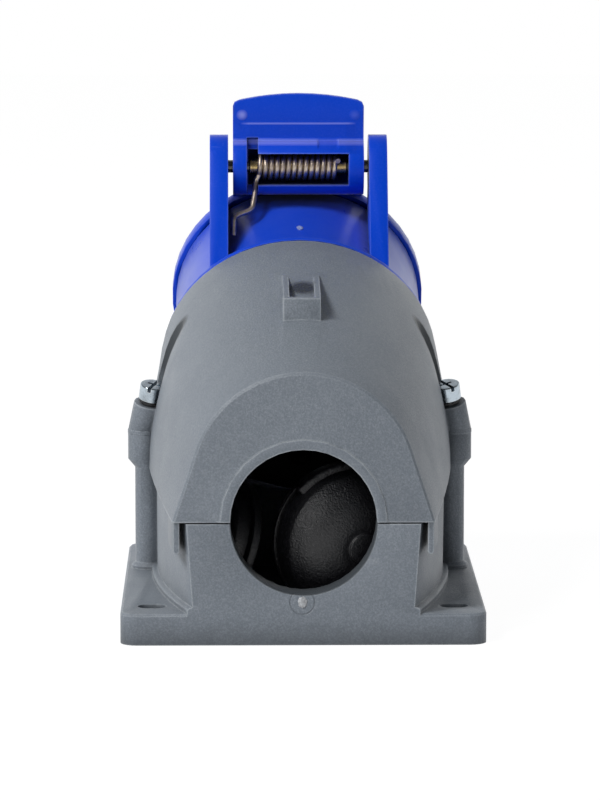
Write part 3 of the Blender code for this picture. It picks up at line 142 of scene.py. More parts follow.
def makeSparkGrain():
    # fine spark-eroded mould texture, as a height
    group, given, place, height = newGroup("sparkGrain", "Height", Grain_Scale=2600.0, Blotch_Scale=300.0)
    fine = noiseNode(group, place, given["Grain Scale"], 2.0, 0.6)
    broad = noiseNode(group, place, given["Blotch Scale"], 2.0)
    total = mathNode(group, "MULTIPLY_ADD", broad, 0.35)
    group.links.new(fine, total.node.inputs[2])
    group.links.new(total, height)
    return group


def makeEdgeWearAndHighlight():
    # 1 on convex edges, in patches: wear, and painted edge highlights; from the difference between the
    #                                surface and a rounded normal
    group, given, place, mask = newGroup("edgeWearAndHighlight", "Mask", Radius=0.0006, Patch_Scale=160.0, Reach=0.5)
    rounded = group.nodes.new("ShaderNodeBevel")
    rounded.samples = 6
    group.links.new(given["Radius"], rounded.inputs["Radius"])
    surface = group.nodes.new("ShaderNodeNewGeometry")
    alike = vectorNode(group, "DOT_PRODUCT", rounded.outputs[0], surface.outputs["Normal"])["Value"]
    edge = rangeNode(group, alike, 0.995, 0.9)
    patch = noiseNode(group, place, given["Patch Scale"], 4.0, 0.65)
    threshold = mathNode(group, "SUBTRACT", 1.0, given["Reach"])
    patchy = rangeNode(group, patch, threshold, mathNode(group, "ADD", threshold, 0.12))
    return endGroup(group, edge, patchy, mask)


def makeScuffs():
    # short thin rubs in two directions, as a mask
    group, given, place, mask = newGroup("scuffs", "Mask", Scale=60.0, Amount=0.5)
    parts = []
    for turn, stretch in ((0.4, (1.0, 9.0, 6.0)), (1.3, (7.0, 1.0, 5.0))):
        turned = group.nodes.new("ShaderNodeMapping")
        setInputs(turned, Rotation=(turn, 0.3, turn * 2), Scale=stretch)
        group.links.new(place, turned.inputs["Vector"])
        lines = noiseNode(group, turned.outputs[0], given["Scale"], 5.0, 0.7, 0.2)
        patch = noiseNode(group, place, times(group, given["Scale"], 0.35), 2.0)
        parts.append(times(group, rangeNode(group, lines, 0.62, 0.7), rangeNode(group, patch, 0.52, 0.62)))
    both = mathNode(group, "MAXIMUM", parts[0], parts[1])
    return endGroup(group, both, given["Amount"], mask)


def makeDust():
    # thin dust on faces that look away from the wall
    group, given, place, mask = newGroup("dustFilm", "Mask", Amount=0.2)
    surface = group.nodes.new("ShaderNodeNewGeometry")
    upward = rangeNode(group, splitPlace(group, surface.outputs["Normal"])["Z"], 0.3, 1.0)
    cloud = rangeNode(group, noiseNode(group, place, 90.0, 6.0, 0.7), 0.35, 0.75)
    specks = rangeNode(group, noiseNode(group, place, 2200.0, 2.0), 0.68, 0.74)
    film = times(group, mathNode(group, "MAXIMUM", times(group, cloud, 0.5), specks), upward)
    return endGroup(group, film, given["Amount"], mask)


def makeCavity():
    # painted shade: 1 deep in narrow places, where little light gets in, from ambient occlusion
    group, given, place, mask = newGroup("cavityShade", "Mask", Distance=0.005, Open=0.75, Amount=0.5)
    closed = group.nodes.new("ShaderNodeAmbientOcclusion")
    closed.samples = 8
    group.links.new(given["Distance"], closed.inputs["Distance"])
    cloud = rangeNode(group, noiseNode(group, place, 300.0, 3.0), 0.2, 0.8, 0.9, 1.1)
    deep = rangeNode(group, times(group, closed.outputs["AO"], cloud), given["Open"], 0.15)
    return endGroup(group, deep, given["Amount"], mask)


groups = {"grain": makeSparkGrain(), "wearAndHighlight": makeEdgeWearAndHighlight(), "scuffs": makeScuffs(), "dust": makeDust(),
          "cavity": makeCavity()}
print("shader groups built")


# materials

def newMaterial(name):
    made = bpy.data.materials.new(name)
    made.use_nodes = True
    tree = made.node_tree
    shader = next(n for n in tree.nodes if n.type == "BSDF_PRINCIPLED")
    place = tree.nodes.new("ShaderNodeTexCoord").outputs["Object"]
    return made, tree, shader, place


def useGroup(tree, place, key, **values):
    node = tree.nodes.new("ShaderNodeGroup")
    node.node_tree = groups[key]
    tree.links.new(place, node.inputs["Vector"])
    setInputs(node, **values)
    return node.outputs[0]


def bumpNode(tree, shader, height, strength, distance):
    node = tree.nodes.new("ShaderNodeBump")
    setInputs(node, Strength=strength, Distance=distance)
    tree.links.new(height, node.inputs["Height"])
    tree.links.new(node.outputs[0], shader.inputs["Normal"])
    return node


def distanceTo(tree, place, centre):
    return vectorNode(tree, "DISTANCE", place, centre)["Value"]


def bandMask(tree, value, middle, band):
    # 1 from below to above a middle value, with soft ends
    low, high, soft = middle + band[0], middle + band[1], band[2]
    up = rangeNode(tree, value, low - soft, low + soft)
    down = rangeNode(tree, value, high + soft, high - soft)
    return times(tree, up, down)


def spotHeight(tree, place, centre, radius, height):
    # a low round swelling, in metres
    near = rangeNode(tree, distanceTo(tree, place, centre), radius, 0.0)
    curve = times(tree, near, near)
    return times(tree, mathNode(tree, "SUBTRACT", times(tree, near, 2.0), curve), height)


# marks on single pieces: reliefs of the mould and of a rough floor, and painted highlights and painted shade;
# a relief is in metres, a mark is a mask

def ringMask(tree, place, look):
    # the thin circle round a gate
    return bandMask(tree, distanceTo(tree, place, look["ringAt"]), look["ringRadius"], look["ringBand"])


def ringRelief(tree, place, look):
    return times(tree, ringMask(tree, place, look), -look["ringDepth"])


def boreShade(tree, place, look):
    # painted shade: 1 inside the cable entry's bore, and some in the thin circle below it
    x, y, z = splitPlace(tree, place)
    rise = mathNode(tree, "SUBTRACT", z, look["boreAt"])
    radius = mathNode(tree, "SQRT", mathNode(tree, "ADD", times(tree, x, x), times(tree, rise, rise)))
    bore = rangeNode(tree, radius, *look["boreEdge"])
    bore = times(tree, bore, rangeNode(tree, y, look["boreTo"], look["boreTo"] - mm))
    ring = times(tree, ringMask(tree, place, look), look["ringShare"])
    return mathNode(tree, "MAXIMUM", times(tree, bore, look["boreShare"]), ring)


def pocketMask(tree, place, look, share):
    reach = look["pocketReach"]
    return rangeNode(tree, distanceTo(tree, place, look["pocketAt"]), reach, reach * share)


def pocketRelief(tree, place, look):
    # the pocket's floor was left rough
    coarse = noiseNode(tree, place, look["pocketScale"], 2.0, 0.7)
    rough = times(tree, pocketMask(tree, place, look, look["roughCore"]), coarse)
    return times(tree, rough, look["pocketDepth"])


def scallopShade(tree, place, look):
    # painted shade: 1 in the two hollows above the cover screws
    x, y, z = splitPlace(tree, place)
    mirrored = tree.nodes.new("ShaderNodeCombineXYZ")
    for label, value in (("X", mathNode(tree, "ABSOLUTE", x)), ("Y", y), ("Z", z)):
        tree.links.new(value, mirrored.inputs[label])
    reach = vectorNode(tree, "SUBTRACT", mirrored.outputs[0], look["seat"])[0]
    away = vectorNode(tree, "LENGTH", vectorNode(tree, "CROSS_PRODUCT", reach, look["axis"])[0])["Value"]
    along = vectorNode(tree, "DOT_PRODUCT", reach, look["axis"])["Value"]
    inside = rangeNode(tree, away, look["outer"], look["inner"])
    above = rangeNode(tree, along, *look["above"])
    return times(tree, times(tree, inside, above), look["share"])


def coverShade(tree, place, look):
    # painted shade in the pocket and in the hollows above the screws
    pocket = pocketMask(tree, place, look, look["darkCore"])
    return mathNode(tree, "MAXIMUM", scallopShade(tree, place, look), pocket)


def tabHighlights(tree, place, look):
    # painted highlights on the tab's crease and ridge, and where its corners swell
    x, y, z = splitPlace(tree, place)
    crease, ridgeAt, half = look["crease"], look["ridge"], look["creaseHalf"]
    inside = rangeNode(tree, mathNode(tree, "ABSOLUTE", x), half, half - look["lineEnd"])
    front = rangeNode(tree, y, look["frontTo"], look["frontTo"] - mm)
    line = bandMask(tree, z, crease, look["creaseBand"])
    gate = bandMask(tree, x, 0.0, look["gateAcross"])
    ridge = mathNode(tree, "SUBTRACT", look["ridgeShare"], times(tree, gate, look["gateFade"]))
    ridge = times(tree, bandMask(tree, z, ridgeAt, look["ridgeBand"]), ridge)
    total = mathNode(tree, "MAXIMUM", times(tree, line, inside), ridge)
    total = times(tree, times(tree, total, front), look["highlightShare"])
    spotX, spotY, spotZ = look["spot"]
    for side, share in look["spotShares"].items():
        away = distanceTo(tree, place, (side * spotX, spotY, spotZ))
        spot = rangeNode(tree, away, look["spotRadius"], look["spotCore"])
        total = mathNode(tree, "MAXIMUM", total, times(tree, spot, share))
    return total


def tabRelief(tree, place, look):
    # the press tab's raised panel with its crease and ridge, and a swelling near each corner
    x, y, z = splitPlace(tree, place)
    crease, ridgeAt, half = look["crease"], look["ridge"], look["creaseHalf"]
    step = rangeNode(tree, z, crease + look["creaseWidth"], crease - look["creaseWidth"])
    inside = rangeNode(tree, mathNode(tree, "ABSOLUTE", x), half, half - look["panelEnd"])
    height = times(tree, times(tree, step, inside), look["panelHeight"])
    ridge = rangeNode(tree, z, ridgeAt + look["ridgeWidth"] / 2, ridgeAt - look["ridgeWidth"] / 2)
    gate = bandMask(tree, x, 0.0, look["gateAcross"])
    gate = times(tree, gate, bandMask(tree, z, ridgeAt, look["gateBand"]))
    ridge = times(tree, ridge, mathNode(tree, "SUBTRACT", 1.0, times(tree, gate, look["gateCut"])))
    height = mathNode(tree, "ADD", height, times(tree, ridge, look["ridgeHeight"]))
    height = times(tree, height, rangeNode(tree, y, look["frontTo"] + look["frontEnd"], look["frontTo"]))
    spotX, spotY, spotZ = look["spot"]
    for side in (-1, 1):
        spot = spotHeight(tree, place, (side * spotX, spotY, spotZ), look["spotRadius"], look["spotHeight"])
        height = mathNode(tree, "ADD", height, spot)
    return height


# moulded plastic and rubber

def edgeWearAndHighlightMask(tree, place, look):
    wearAndHighlight = useGroup(tree, place, "wearAndHighlight", Radius=look["edgeRadius"], Reach=look["edgeReach"])
    return times(tree, wearAndHighlight, look["wearAndHighlightAmount"])


def cavityShadeColour(tree, place, colour, look):
    # mixes a painted shade colour into narrow places
    cavity = useGroup(tree, place, "cavity", Distance=look["cavityDistance"], Open=look["cavityOpen"],
                      Amount=look["cavityAmount"])
    return mixColour(tree, cavity, colour, look["cavityShadeColour"])


mouldedShares = {"speckScale": 1.1, "roughSpread": 0.05, "rubRoughness": 0.15, "sheenRoughness": 0.3}


def mouldedMaterial(name, look, relief=None, pieceLook=None, mark=None):
    made, tree, shader, place = newMaterial(name)
    setInputs(shader, IOR=look["ior"], Specular_IOR_Level=look["specular"], Sheen_Weight=look["sheen"],
              Sheen_Roughness=mouldedShares["sheenRoughness"])
    blotch = rangeNode(tree, noiseNode(tree, place, look["blotchScale"], 3.0), 0.3, 0.7)
    colour = mixColour(tree, blotch, look["colour"], look["colourOther"])
    specks = noiseNode(tree, place, look["grainScale"] * mouldedShares["speckScale"], 2.0, 0.7)
    specks = rangeNode(tree, specks, 0.42, 0.72)
    colour = mixColour(tree, times(tree, specks, look["speckAmount"]), colour, look["speckColour"])
    # lighter edges: wear, and painted edge highlights
    colour = mixColour(tree, edgeWearAndHighlightMask(tree, place, look), colour, look["wearAndHighlightColour"])
    rub = useGroup(tree, place, "scuffs", Scale=look["scuffScale"], Amount=look["scuffAmount"])
    colour = mixColour(tree, rub, colour, look["wearAndHighlightColour"])
    dust = useGroup(tree, place, "dust", Amount=look["dustAmount"])
    colour = mixColour(tree, dust, colour, look["dustColour"])
    # painted shade in narrow places
    colour = cavityShadeColour(tree, place, colour, look)
    # the piece's painted highlights and painted shade
    if mark:
        colour = mixColour(tree, mark(tree, place, pieceLook), colour, pieceLook["paintedShadingColour"])
    tree.links.new(colour, shader.inputs["Base Color"])
    spread = mouldedShares["roughSpread"]
    rough = rangeNode(tree, noiseNode(tree, place, look["blotchScale"] * 4, 4.0), 0.3, 0.7,
                      look["roughness"] - spread, look["roughness"] + spread)
    rough = mathNode(tree, "ADD", rough, times(tree, rub, mouldedShares["rubRoughness"]), clamp=True)
    tree.links.new(rough, shader.inputs["Roughness"])
    grain = useGroup(tree, place, "grain", Grain_Scale=look["grainScale"])
    surface = bumpNode(tree, shader, grain, look["grainStrength"], look["grainDepth"])
    if relief:
        raised = tree.nodes.new("ShaderNodeBump")
        setInputs(raised, Distance=1.0)
        tree.links.new(relief(tree, place, pieceLook), raised.inputs["Height"])
        tree.links.new(raised.outputs[0], surface.inputs["Normal"])
    return made


greyLook = {
    "colour": (0.158, 0.184, 0.216), "colourOther": (0.170, 0.196, 0.230), "blotchScale": 25.0,
    "speckColour": (0.30, 0.33, 0.37), "speckAmount": 0.55, "roughness": 0.5, "ior": 1.48, "specular": 0.5,
    "edgeRadius": 0.0007, "edgeReach": 0.66, "wearAndHighlightAmount": 0.75, "wearAndHighlightColour": (0.46, 0.50, 0.54),
    "sheen": 0.1, "scuffScale": 70.0, "scuffAmount": 0.16, "dustAmount": 0.1, "dustColour": (0.5, 0.5, 0.48),
    "grainScale": 2100.0, "grainStrength": 0.9, "grainDepth": 0.00016,
    "cavityDistance": 0.011, "cavityOpen": 0.86, "cavityAmount": 0.8, "cavityShadeColour": (0.02, 0.024, 0.028),
}
blueLook = {
    "colour": (0.0, 0.052, 0.60), "colourOther": (0.0, 0.060, 0.66), "blotchScale": 25.0,
    "speckColour": (0.03, 0.09, 0.7), "speckAmount": 0.2, "roughness": 0.32, "ior": 1.5, "specular": 0.14,
    "edgeRadius": 0.0006, "edgeReach": 0.7, "wearAndHighlightAmount": 0.5, "wearAndHighlightColour": (0.16, 0.25, 0.85),
    "sheen": 0.36, "scuffScale": 55.0, "scuffAmount": 0.2, "dustAmount": 0.06,
    "dustColour": (0.45, 0.48, 0.6), "grainScale": 2000.0, "grainStrength": 0.25, "grainDepth": 0.00004,
    "cavityDistance": 0.006, "cavityOpen": 0.6, "cavityAmount": 0.95, "cavityShadeColour": (0.0, 0.003, 0.03),
}
blackLook = {
    "colour": (0.012, 0.012, 0.013), "colourOther": (0.016, 0.016, 0.017), "blotchScale": 30.0,
    "speckColour": (0.03, 0.03, 0.03), "speckAmount": 0.3, "roughness": 0.4, "ior": 1.48, "specular": 0.5,
    "edgeRadius": 0.0005, "edgeReach": 0.45, "wearAndHighlightAmount": 0.2, "wearAndHighlightColour": (0.10, 0.10, 0.105),
    "sheen": 0.0, "scuffScale": 60.0, "scuffAmount": 0.1, "dustAmount": 0.08, "dustColour": (0.2, 0.2, 0.2),
    "grainScale": 2200.0, "grainStrength": 0.3, "grainDepth": 0.00005,
    "cavityDistance": 0.005, "cavityOpen": 0.6, "cavityAmount": 0.6, "cavityShadeColour": (0.003, 0.003, 0.003),
}
rubberLook = {
    **blackLook, "colour": (0.003, 0.003, 0.004), "colourOther": (0.005, 0.005, 0.007), "blotchScale": 40.0,
    "speckColour": (0.04, 0.04, 0.045), "speckAmount": 0.4, "roughness": 0.34, "ior": 1.5, "specular": 0.62,
    "edgeReach": 0.4, "wearAndHighlightAmount": 0.25, "wearAndHighlightColour": (0.09, 0.09, 0.09), "scuffScale": 80.0,
    "dustAmount": 0.12, "dustColour": (0.16, 0.16, 0.17), "grainScale": 2000.0, "grainStrength": 0.9,
    "grainDepth": 0.00021, "cavityDistance": 0.004,
}
greyPlastic = mouldedMaterial("greyPlastic", greyLook)
bluePlastic = mouldedMaterial("bluePlastic", blueLook)
tabLook = {
    "crease": 115.6 * mm, "creaseWidth": 0.35 * mm, "creaseHalf": 14.5 * mm, "panelHeight": 0.22 * mm,
    "creaseBand": (-0.25 * mm, 0.1 * mm, 0.2 * mm), "ridgeBand": (-1.0 * mm, 0.2 * mm, 0.35 * mm),
    "spot": (14.1 * mm, 39.1 * mm, 117.7 * mm), "spotRadius": 1.5 * mm, "spotHeight": 0.12 * mm,
    # painted highlights: the corner spots' shares, and the crease and ridge's share and colour
    "spotCore": 0.3 * mm, "spotShares": {-1: 0.75, 1: 0.15},
    "frontTo": 42.0 * mm, "frontEnd": 8.0 * mm, "lineEnd": 2.0 * mm, "panelEnd": 2.5 * mm,
    "highlightShare": 0.6, "paintedShadingColour": (0.30, 0.34, 0.86),
    "ridge": 111.3 * mm, "ridgeWidth": 1.1 * mm, "ridgeHeight": 0.5 * mm, "ridgeShare": 0.8,
    "gateAcross": (5.0 * mm, 9.9 * mm, 0.3 * mm), "gateBand": (-1.8 * mm, 2.0 * mm, 0.4 * mm),
    "gateFade": 0.5, "gateCut": 0.6,
}
lidPlastic = mouldedMaterial("lidPlastic", blueLook, tabRelief, tabLook, tabHighlights)
frontGateAt = (-0.26 * mm, -49.5 * mm, 10.2 * mm)
baseMarkLook = {
    "ringAt": frontGateAt, "ringRadius": 2.9 * mm, "ringBand": (-0.15 * mm, 0.15 * mm, 0.15 * mm),
    # the ring's share and the bore's values on these lines set painted shade; the ring's depth is a real
    # groove
    "ringDepth": 0.12 * mm, "ringShare": 0.3, "boreAt": 29.1 * mm, "boreEdge": (17.45 * mm, 17.25 * mm),
    "boreTo": -38.0 * mm, "boreShare": 0.9, "paintedShadingColour": (0.05, 0.06, 0.07),
}
basePlastic = mouldedMaterial("basePlastic", greyLook, ringRelief, baseMarkLook, boreShade)
screwSeat = (36.5 * mm, 11.5 * mm, 48.8 * mm)
coverMarkLook = {
    "pocketAt": (0.4 * mm, -9.0 * mm, 78.6 * mm), "pocketReach": 4.2 * mm, "pocketScale": 1100.0,
    "pocketDepth": 0.5 * mm, "seat": screwSeat, "axis": (-0.1353, -0.2400, 0.9613), "outer": 6.2 * mm,
    # share and darkCore set the painted shade in the hollows and the pocket
    "inner": 5.3 * mm, "above": (4.0 * mm, 8.0 * mm), "share": 0.95, "roughCore": 0.7, "darkCore": 0.6,
    "paintedShadingColour": (0.035, 0.042, 0.05),
}
coverPlastic = mouldedMaterial("coverPlastic", greyLook, pocketRelief, coverMarkLook, coverShade)
blackPlastic = mouldedMaterial("blackPlastic", blackLook)
blackRubber = mouldedMaterial("blackRubber", rubberLook)


# metals

def metalMaterial(name, look):
    made, tree, shader, place = newMaterial(name)
    setInputs(shader, Metallic=1.0)
    stain = rangeNode(tree, noiseNode(tree, place, look["stainScale"], 5.0, 0.65), 0.42, 0.66)
    colour = mixColour(tree, stain, look["colour"], look["stainColour"])
    colour = mixColour(tree, edgeWearAndHighlightMask(tree, place, look), colour, look["brightColour"])
    # painted shade in hollows, for the looks that give a cavity amount
    if look.get("cavityAmount"):
        colour = cavityShadeColour(tree, place, colour, look)
    tree.links.new(colour, shader.inputs["Base Color"])
    rough = mathNode(tree, "ADD", look["roughness"], times(tree, stain, look["stainRoughness"]), clamp=True)
    tree.links.new(rough, shader.inputs["Roughness"])
    stretched = tree.nodes.new("ShaderNodeMapping")
    setInputs(stretched, Scale=look["brushStretch"])
    tree.links.new(place, stretched.inputs["Vector"])
    brush = noiseNode(tree, stretched.outputs[0], look["brushScale"], 3.0, 0.6)
    bumpNode(tree, shader, brush, look["brushStrength"], look["brushDepth"])
    return made


metalLook = {
    "stainScale": 420.0, "stainRoughness": 0.18, "roughness": 0.3, "edgeRadius": 0.0004, "edgeReach": 0.6,
    "wearAndHighlightAmount": 0.6, "brushStretch": (6.0, 1.0, 1.0), "brushScale": 1500.0, "brushStrength": 0.25,
    "brushDepth": 0.00003,
}
metalLooks = {
    "zincPlate": {
        "colour": (0.47, 0.54, 0.60), "stainColour": (0.30, 0.34, 0.37), "brightColour": (0.85, 0.88, 0.90),
        "roughness": 0.18, "brushStretch": (1.0, 1.0, 1.0), "brushScale": 1800.0, "brushStrength": 0.35},
    "springWire": {
        "colour": (0.66, 0.56, 0.45), "stainColour": (0.42, 0.34, 0.27), "brightColour": (0.9, 0.86, 0.78),
        "stainScale": 500.0, "roughness": 0.34},
    "platedBrass": {
        "colour": (0.62, 0.46, 0.20), "stainColour": (0.42, 0.31, 0.15), "brightColour": (0.92, 0.82, 0.55),
        "roughness": 0.25},
    "nickelPlate": {
        "colour": (0.30, 0.28, 0.24), "stainColour": (0.16, 0.15, 0.13), "brightColour": (0.6, 0.58, 0.52),
        "cavityDistance": 0.02, "cavityOpen": 0.75, "cavityAmount": 0.95,
        "cavityShadeColour": (0.004, 0.004, 0.004)},
    "bareSteel": {
        "colour": (0.20, 0.19, 0.18), "stainColour": (0.10, 0.095, 0.09), "brightColour": (0.5, 0.49, 0.47),
        "stainScale": 400.0, "brushStretch": (1.0, 6.0, 6.0), "brushScale": 1200.0, "brushStrength": 0.3},
}
metals = {name: metalMaterial(name, {**metalLook, **look}) for name, look in metalLooks.items()}
print("materials built")

slotMaterials = {
    "grey_plastic": greyPlastic, "blue_plastic": bluePlastic, "black_plastic": blackPlastic,
    "black_rubber": blackRubber, "zinc_plated_steel": metals["zincPlate"],
    "nickel_plated_brass": metals["nickelPlate"], "spring_steel": metals["bareSteel"],
}
nodeSlots = {entry["node"]: entry["material_slot"] for entry in frame["record"]["subparts"]}
nodeBodies = {name: body for body, names in frame["record"]["behaviour"]["bodies"].items() for name in names}
for name, node in frame["nodes"].items():
    node.data.materials.clear()
    node.data.materials.append(slotMaterials[nodeSlots[name]])


# objects and meshes

scene = bpy.context.scene


def addObject(name, data):
    made = bpy.data.objects.new(name, data)
    scene.collection.objects.link(made)
    return made


def meshFrom(work, name):
    mesh = bpy.data.meshes.new(name)
    work.to_mesh(mesh)
    work.free()
    return mesh


def plainMesh(name, points, edges=(), faces=()):
    mesh = bpy.data.meshes.new(name)
    mesh.from_pydata(points, edges, faces)
    return mesh


def modifiedMesh(piece):
    return bpy.data.meshes.new_from_object(piece.evaluated_get(bpy.context.evaluated_depsgraph_get()))


def paintedPiece(name, mesh, material, degrees):
    mesh.materials.append(material)
    piece = addObject(name, mesh)
    smoothByAngle(mesh, degrees)
    return piece


def finishPiece(piece, name, replaced):
    piece.name = name
    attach(piece, nodeBodies[replaced])
    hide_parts(replaced)
    return piece


def smoothByAngle(mesh, degrees):
    mesh.shade_smooth()
    mesh.set_sharp_from_angle(angle=math.radians(degrees))


# finished copies of the mouldings: merged, with small rounded edges

softening = {"merge": 0.004 * mm, "flat": math.radians(0.6), "segments": 2, "angle": 32}
mouldings = {
    "base_housing": (0.35 * mm, basePlastic), "cover_housing": (0.35 * mm, coverPlastic),
    "socket_body": (0.3 * mm, bluePlastic), "lid": (0.35 * mm, lidPlastic),
}


def softenedCopy(nodeName, radius, material):
    work = bmesh.new()
    work.from_mesh(frame["nodes"][nodeName].data)
    bmesh.ops.remove_doubles(work, verts=work.verts, dist=softening["merge"])
    bmesh.ops.dissolve_limit(work, angle_limit=softening["flat"], verts=work.verts, edges=work.edges)
    mesh = meshFrom(work, nodeName + "Soft")
    mesh.materials.append(material)
    piece = addObject(nodeName + "Soft", mesh)
    rounding = piece.modifiers.new("rounding", "BEVEL")
    rounding.width = radius
    rounding.segments = softening["segments"]
    rounding.limit_method = "ANGLE"
    rounding.angle_limit = math.radians(softening["angle"])
    rounding.use_clamp_overlap = True
    rounding.miter_outer = "MITER_ARC"
    finished = modifiedMesh(piece)
    piece.modifiers.clear()
    piece.data = finished
    smoothByAngle(finished, softening["angle"])
    return finishPiece(piece, nodeName + "Moulding", nodeName)


for nodeName, (radius, material) in mouldings.items():
    piece = softenedCopy(nodeName, radius, material)
    print("softened", nodeName, len(piece.data.polygons), "faces")


# frames on the socket, its hinge and its cover screws

layout = {
    "rim": (0.0, 29.0 * mm, 56.6 * mm), "tilt": math.radians(22.0), "hingeAlong": 30.4 * mm,
    "hingeUp": 39.4 * mm, "collarRadius": 31.0 * mm, "leanIn": math.radians(8.0),
    "leanFront": math.radians(14.0),
}
socketFrame = Matrix.Translation(layout["rim"]) @ Matrix.Rotation(layout["tilt"], 4, "X")
hingeFrame = socketFrame @ Matrix.Translation((0, layout["hingeAlong"], layout["hingeUp"]))


def screwFrame(side):
    # its Y axis leads up out of the head, its origin is the seat on the cover's ear
    up = Vector((-side * math.tan(layout["leanIn"]), -math.tan(layout["leanFront"]), 1)).normalized()
    across = up.cross(Vector((0, 1, 0))).normalized()
    turn = Matrix((across, up, across.cross(up))).transposed().to_4x4()
    x, y, z = screwSeat
    return Matrix.Translation((side * x, y, z)) @ turn


# geometry node helpers

def newTree(name, inputs):
    tree = bpy.data.node_groups.new(name, "GeometryNodeTree")
    tree.interface.new_socket("Geometry", in_out="INPUT", socket_type="NodeSocketGeometry")
    keys = {}
    for label, kind in inputs:
        socket = tree.interface.new_socket(label, in_out="INPUT", socket_type="NodeSocket" + kind)
        keys[label] = socket.identifier
    tree.interface.new_socket("Geometry", in_out="OUTPUT", socket_type="NodeSocketGeometry")
    return tree, keys, tree.nodes.new("NodeGroupInput").outputs, tree.nodes.new("NodeGroupOutput").inputs


def endTree(tree, geometry, material, out):
    real = tree.nodes.new("GeometryNodeRealizeInstances")
    tree.links.new(geometry, real.inputs[0])
    paint = tree.nodes.new("GeometryNodeSetMaterial")
    tree.links.new(real.outputs[0], paint.inputs["Geometry"])
    tree.links.new(material, paint.inputs["Material"])
    tree.links.new(paint.outputs[0], out["Geometry"])


def grownMesh(name, carrier, tree, keys, values):
    # runs the tree on the carrier mesh and keeps the result as a plain mesh
    piece = addObject(name, carrier)
    growth = piece.modifiers.new("growth", "NODES")
    growth.node_group = tree
    for label, value in values.items():
        growth[keys[label]] = value
    result = modifiedMesh(piece)
    piece.modifiers.clear()
    piece.data = result
    return piece


def makeWireTree():
    # a round wire along the carrier's edges, with flat ends
    inputs = [("Wire Radius", "Float"), ("Sides", "Int"), ("Material", "Material")]
    tree, keys, given, out = newTree("wireAlongPath", inputs)
    curve = tree.nodes.new("GeometryNodeMeshToCurve")
    tree.links.new(given["Geometry"], curve.inputs["Mesh"])
    ring = tree.nodes.new("GeometryNodeCurvePrimitiveCircle")
    tree.links.new(given["Sides"], ring.inputs["Resolution"])
    tree.links.new(given["Wire Radius"], ring.inputs["Radius"])
    sweep = tree.nodes.new("GeometryNodeCurveToMesh")
    setInputs(sweep, Fill_Caps=True)
    tree.links.new(curve.outputs[0], sweep.inputs["Curve"])
    tree.links.new(ring.outputs[0], sweep.inputs["Profile Curve"])
    endTree(tree, sweep.outputs[0], given["Material"], out)
    return tree, keys


wireTree, wireKeys = makeWireTree()


def smoothPath(points, count):
    # a rounded line through the points
    result = []
    ends = [points[0]] + list(points) + [points[-1]]
    for i in range(1, len(ends) - 2):
        a, b, c, d = ends[i - 1:i + 3]
        for k in range(count):
            t = k / count
            result.append(0.5 * (2 * b + (c - a) * t + (2 * a - 5 * b + 4 * c - d) * t ** 2
                                 + (3 * b - a - 3 * c + d) * t ** 3))
    return result + [points[-1]]


# spring: one leg on the collar, thirteen turns, one leg up in the lid; its leg steps are in mm

springLook = {
    "turns": 13.3, "length": 19.2 * mm, "radius": 2.85 * mm, "wire": 0.66 * mm, "startX": -9.8 * mm,
    "stepsPerTurn": 28, "sides": 12, "startAngle": math.radians(200.0), "blendFrom": -11.0 * mm,
    "blendTo": 9.0 * mm, "wallX": -16.3 * mm, "lift": 0.6 * mm, "tipBack": -13.5 * mm,
    "legSteps": ((-16.2, -11.2, 0.3), (-15.4, -9.8, 1.0), (-12.0, -7.9, 1.7), (-11.2, -5.8, 2.9),
                 (-10.8, -2.8, 4.6), (-10.7, -0.9, 5.8)),
    "upperSteps": ((0.25, -1.0, 0.12), (0.5, -2.6, 0.1)),
}


def springPoints(look):
    coil = []
    total = round(look["turns"] * look["stepsPerTurn"])
    for i in range(total + 1):
        angle = look["startAngle"] - 2 * math.pi * i / look["stepsPerTurn"]
        x = look["startX"] + look["length"] * i / total
        coil.append(Vector((x, look["radius"] * math.cos(angle), look["radius"] * math.sin(angle))))
    first, last = coil[0], coil[-1]
    floor = layout["collarRadius"] - layout["hingeUp"]
    rest = math.sqrt(layout["collarRadius"] ** 2 - look["wallX"] ** 2) - layout["hingeUp"] + look["lift"]
    leg = [Vector((look["wallX"], first.y + look["tipBack"], rest + 2 * look["wire"]))]
    leg += [Vector((x * mm, first.y + y * mm, floor + z * mm)) for x, y, z in look["legSteps"]]
    upper = [last] + [last + Vector(step) * mm for step in look["upperSteps"]]
    return smoothPath(leg + [first], 8)[:-1] + coil[:-1] + smoothPath(upper, 3)


def makeSpring():
    points = [tuple(hingeFrame @ p) for p in springPoints(springLook)]
    carrier = plainMesh("springPath", points, [(i, i + 1) for i in range(len(points) - 1)])
    spring = grownMesh("springCoil", carrier, wireTree, wireKeys, {
        "Wire Radius": springLook["wire"], "Sides": springLook["sides"], "Material": metals["springWire"]})
    smoothByAngle(spring.data, 50)
    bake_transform(spring)
    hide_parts("torsion_spring")
    return spring


spring = makeSpring()
print("spring made:", len(spring.data.polygons), "faces")


# turned shapes, and the sleeve round the pin, seen at both ends of the coil

def spun(profile, steps):
    # turns (along, radius) points about Y; the first and last points lie on the axis
    work = bmesh.new()
    rows = []
    for along, radius in profile[1:-1]:
        rows.append([work.verts.new((radius * math.cos(a), along, radius * math.sin(a)))
                     for a in (2 * math.pi * i / steps for i in range(steps))])
    first = work.verts.new((0, profile[0][0], 0))
    last = work.verts.new((0, profile[-1][0], 0))
    for i in range(steps):
        j = (i + 1) % steps
        work.faces.new((first, rows[0][j], rows[0][i]))
        work.faces.new((last, rows[-1][i], rows[-1][j]))
        for lower, upper in zip(rows, rows[1:]):
            work.faces.new((lower[i], lower[j], upper[j], upper[i]))
    bmesh.ops.recalc_face_normals(work, faces=work.faces)
    return meshFrom(work, "spun")


pinSleeveLook = {"radius": 2.05 * mm, "half": 12.35 * mm, "round": 0.35 * mm, "steps": 40}


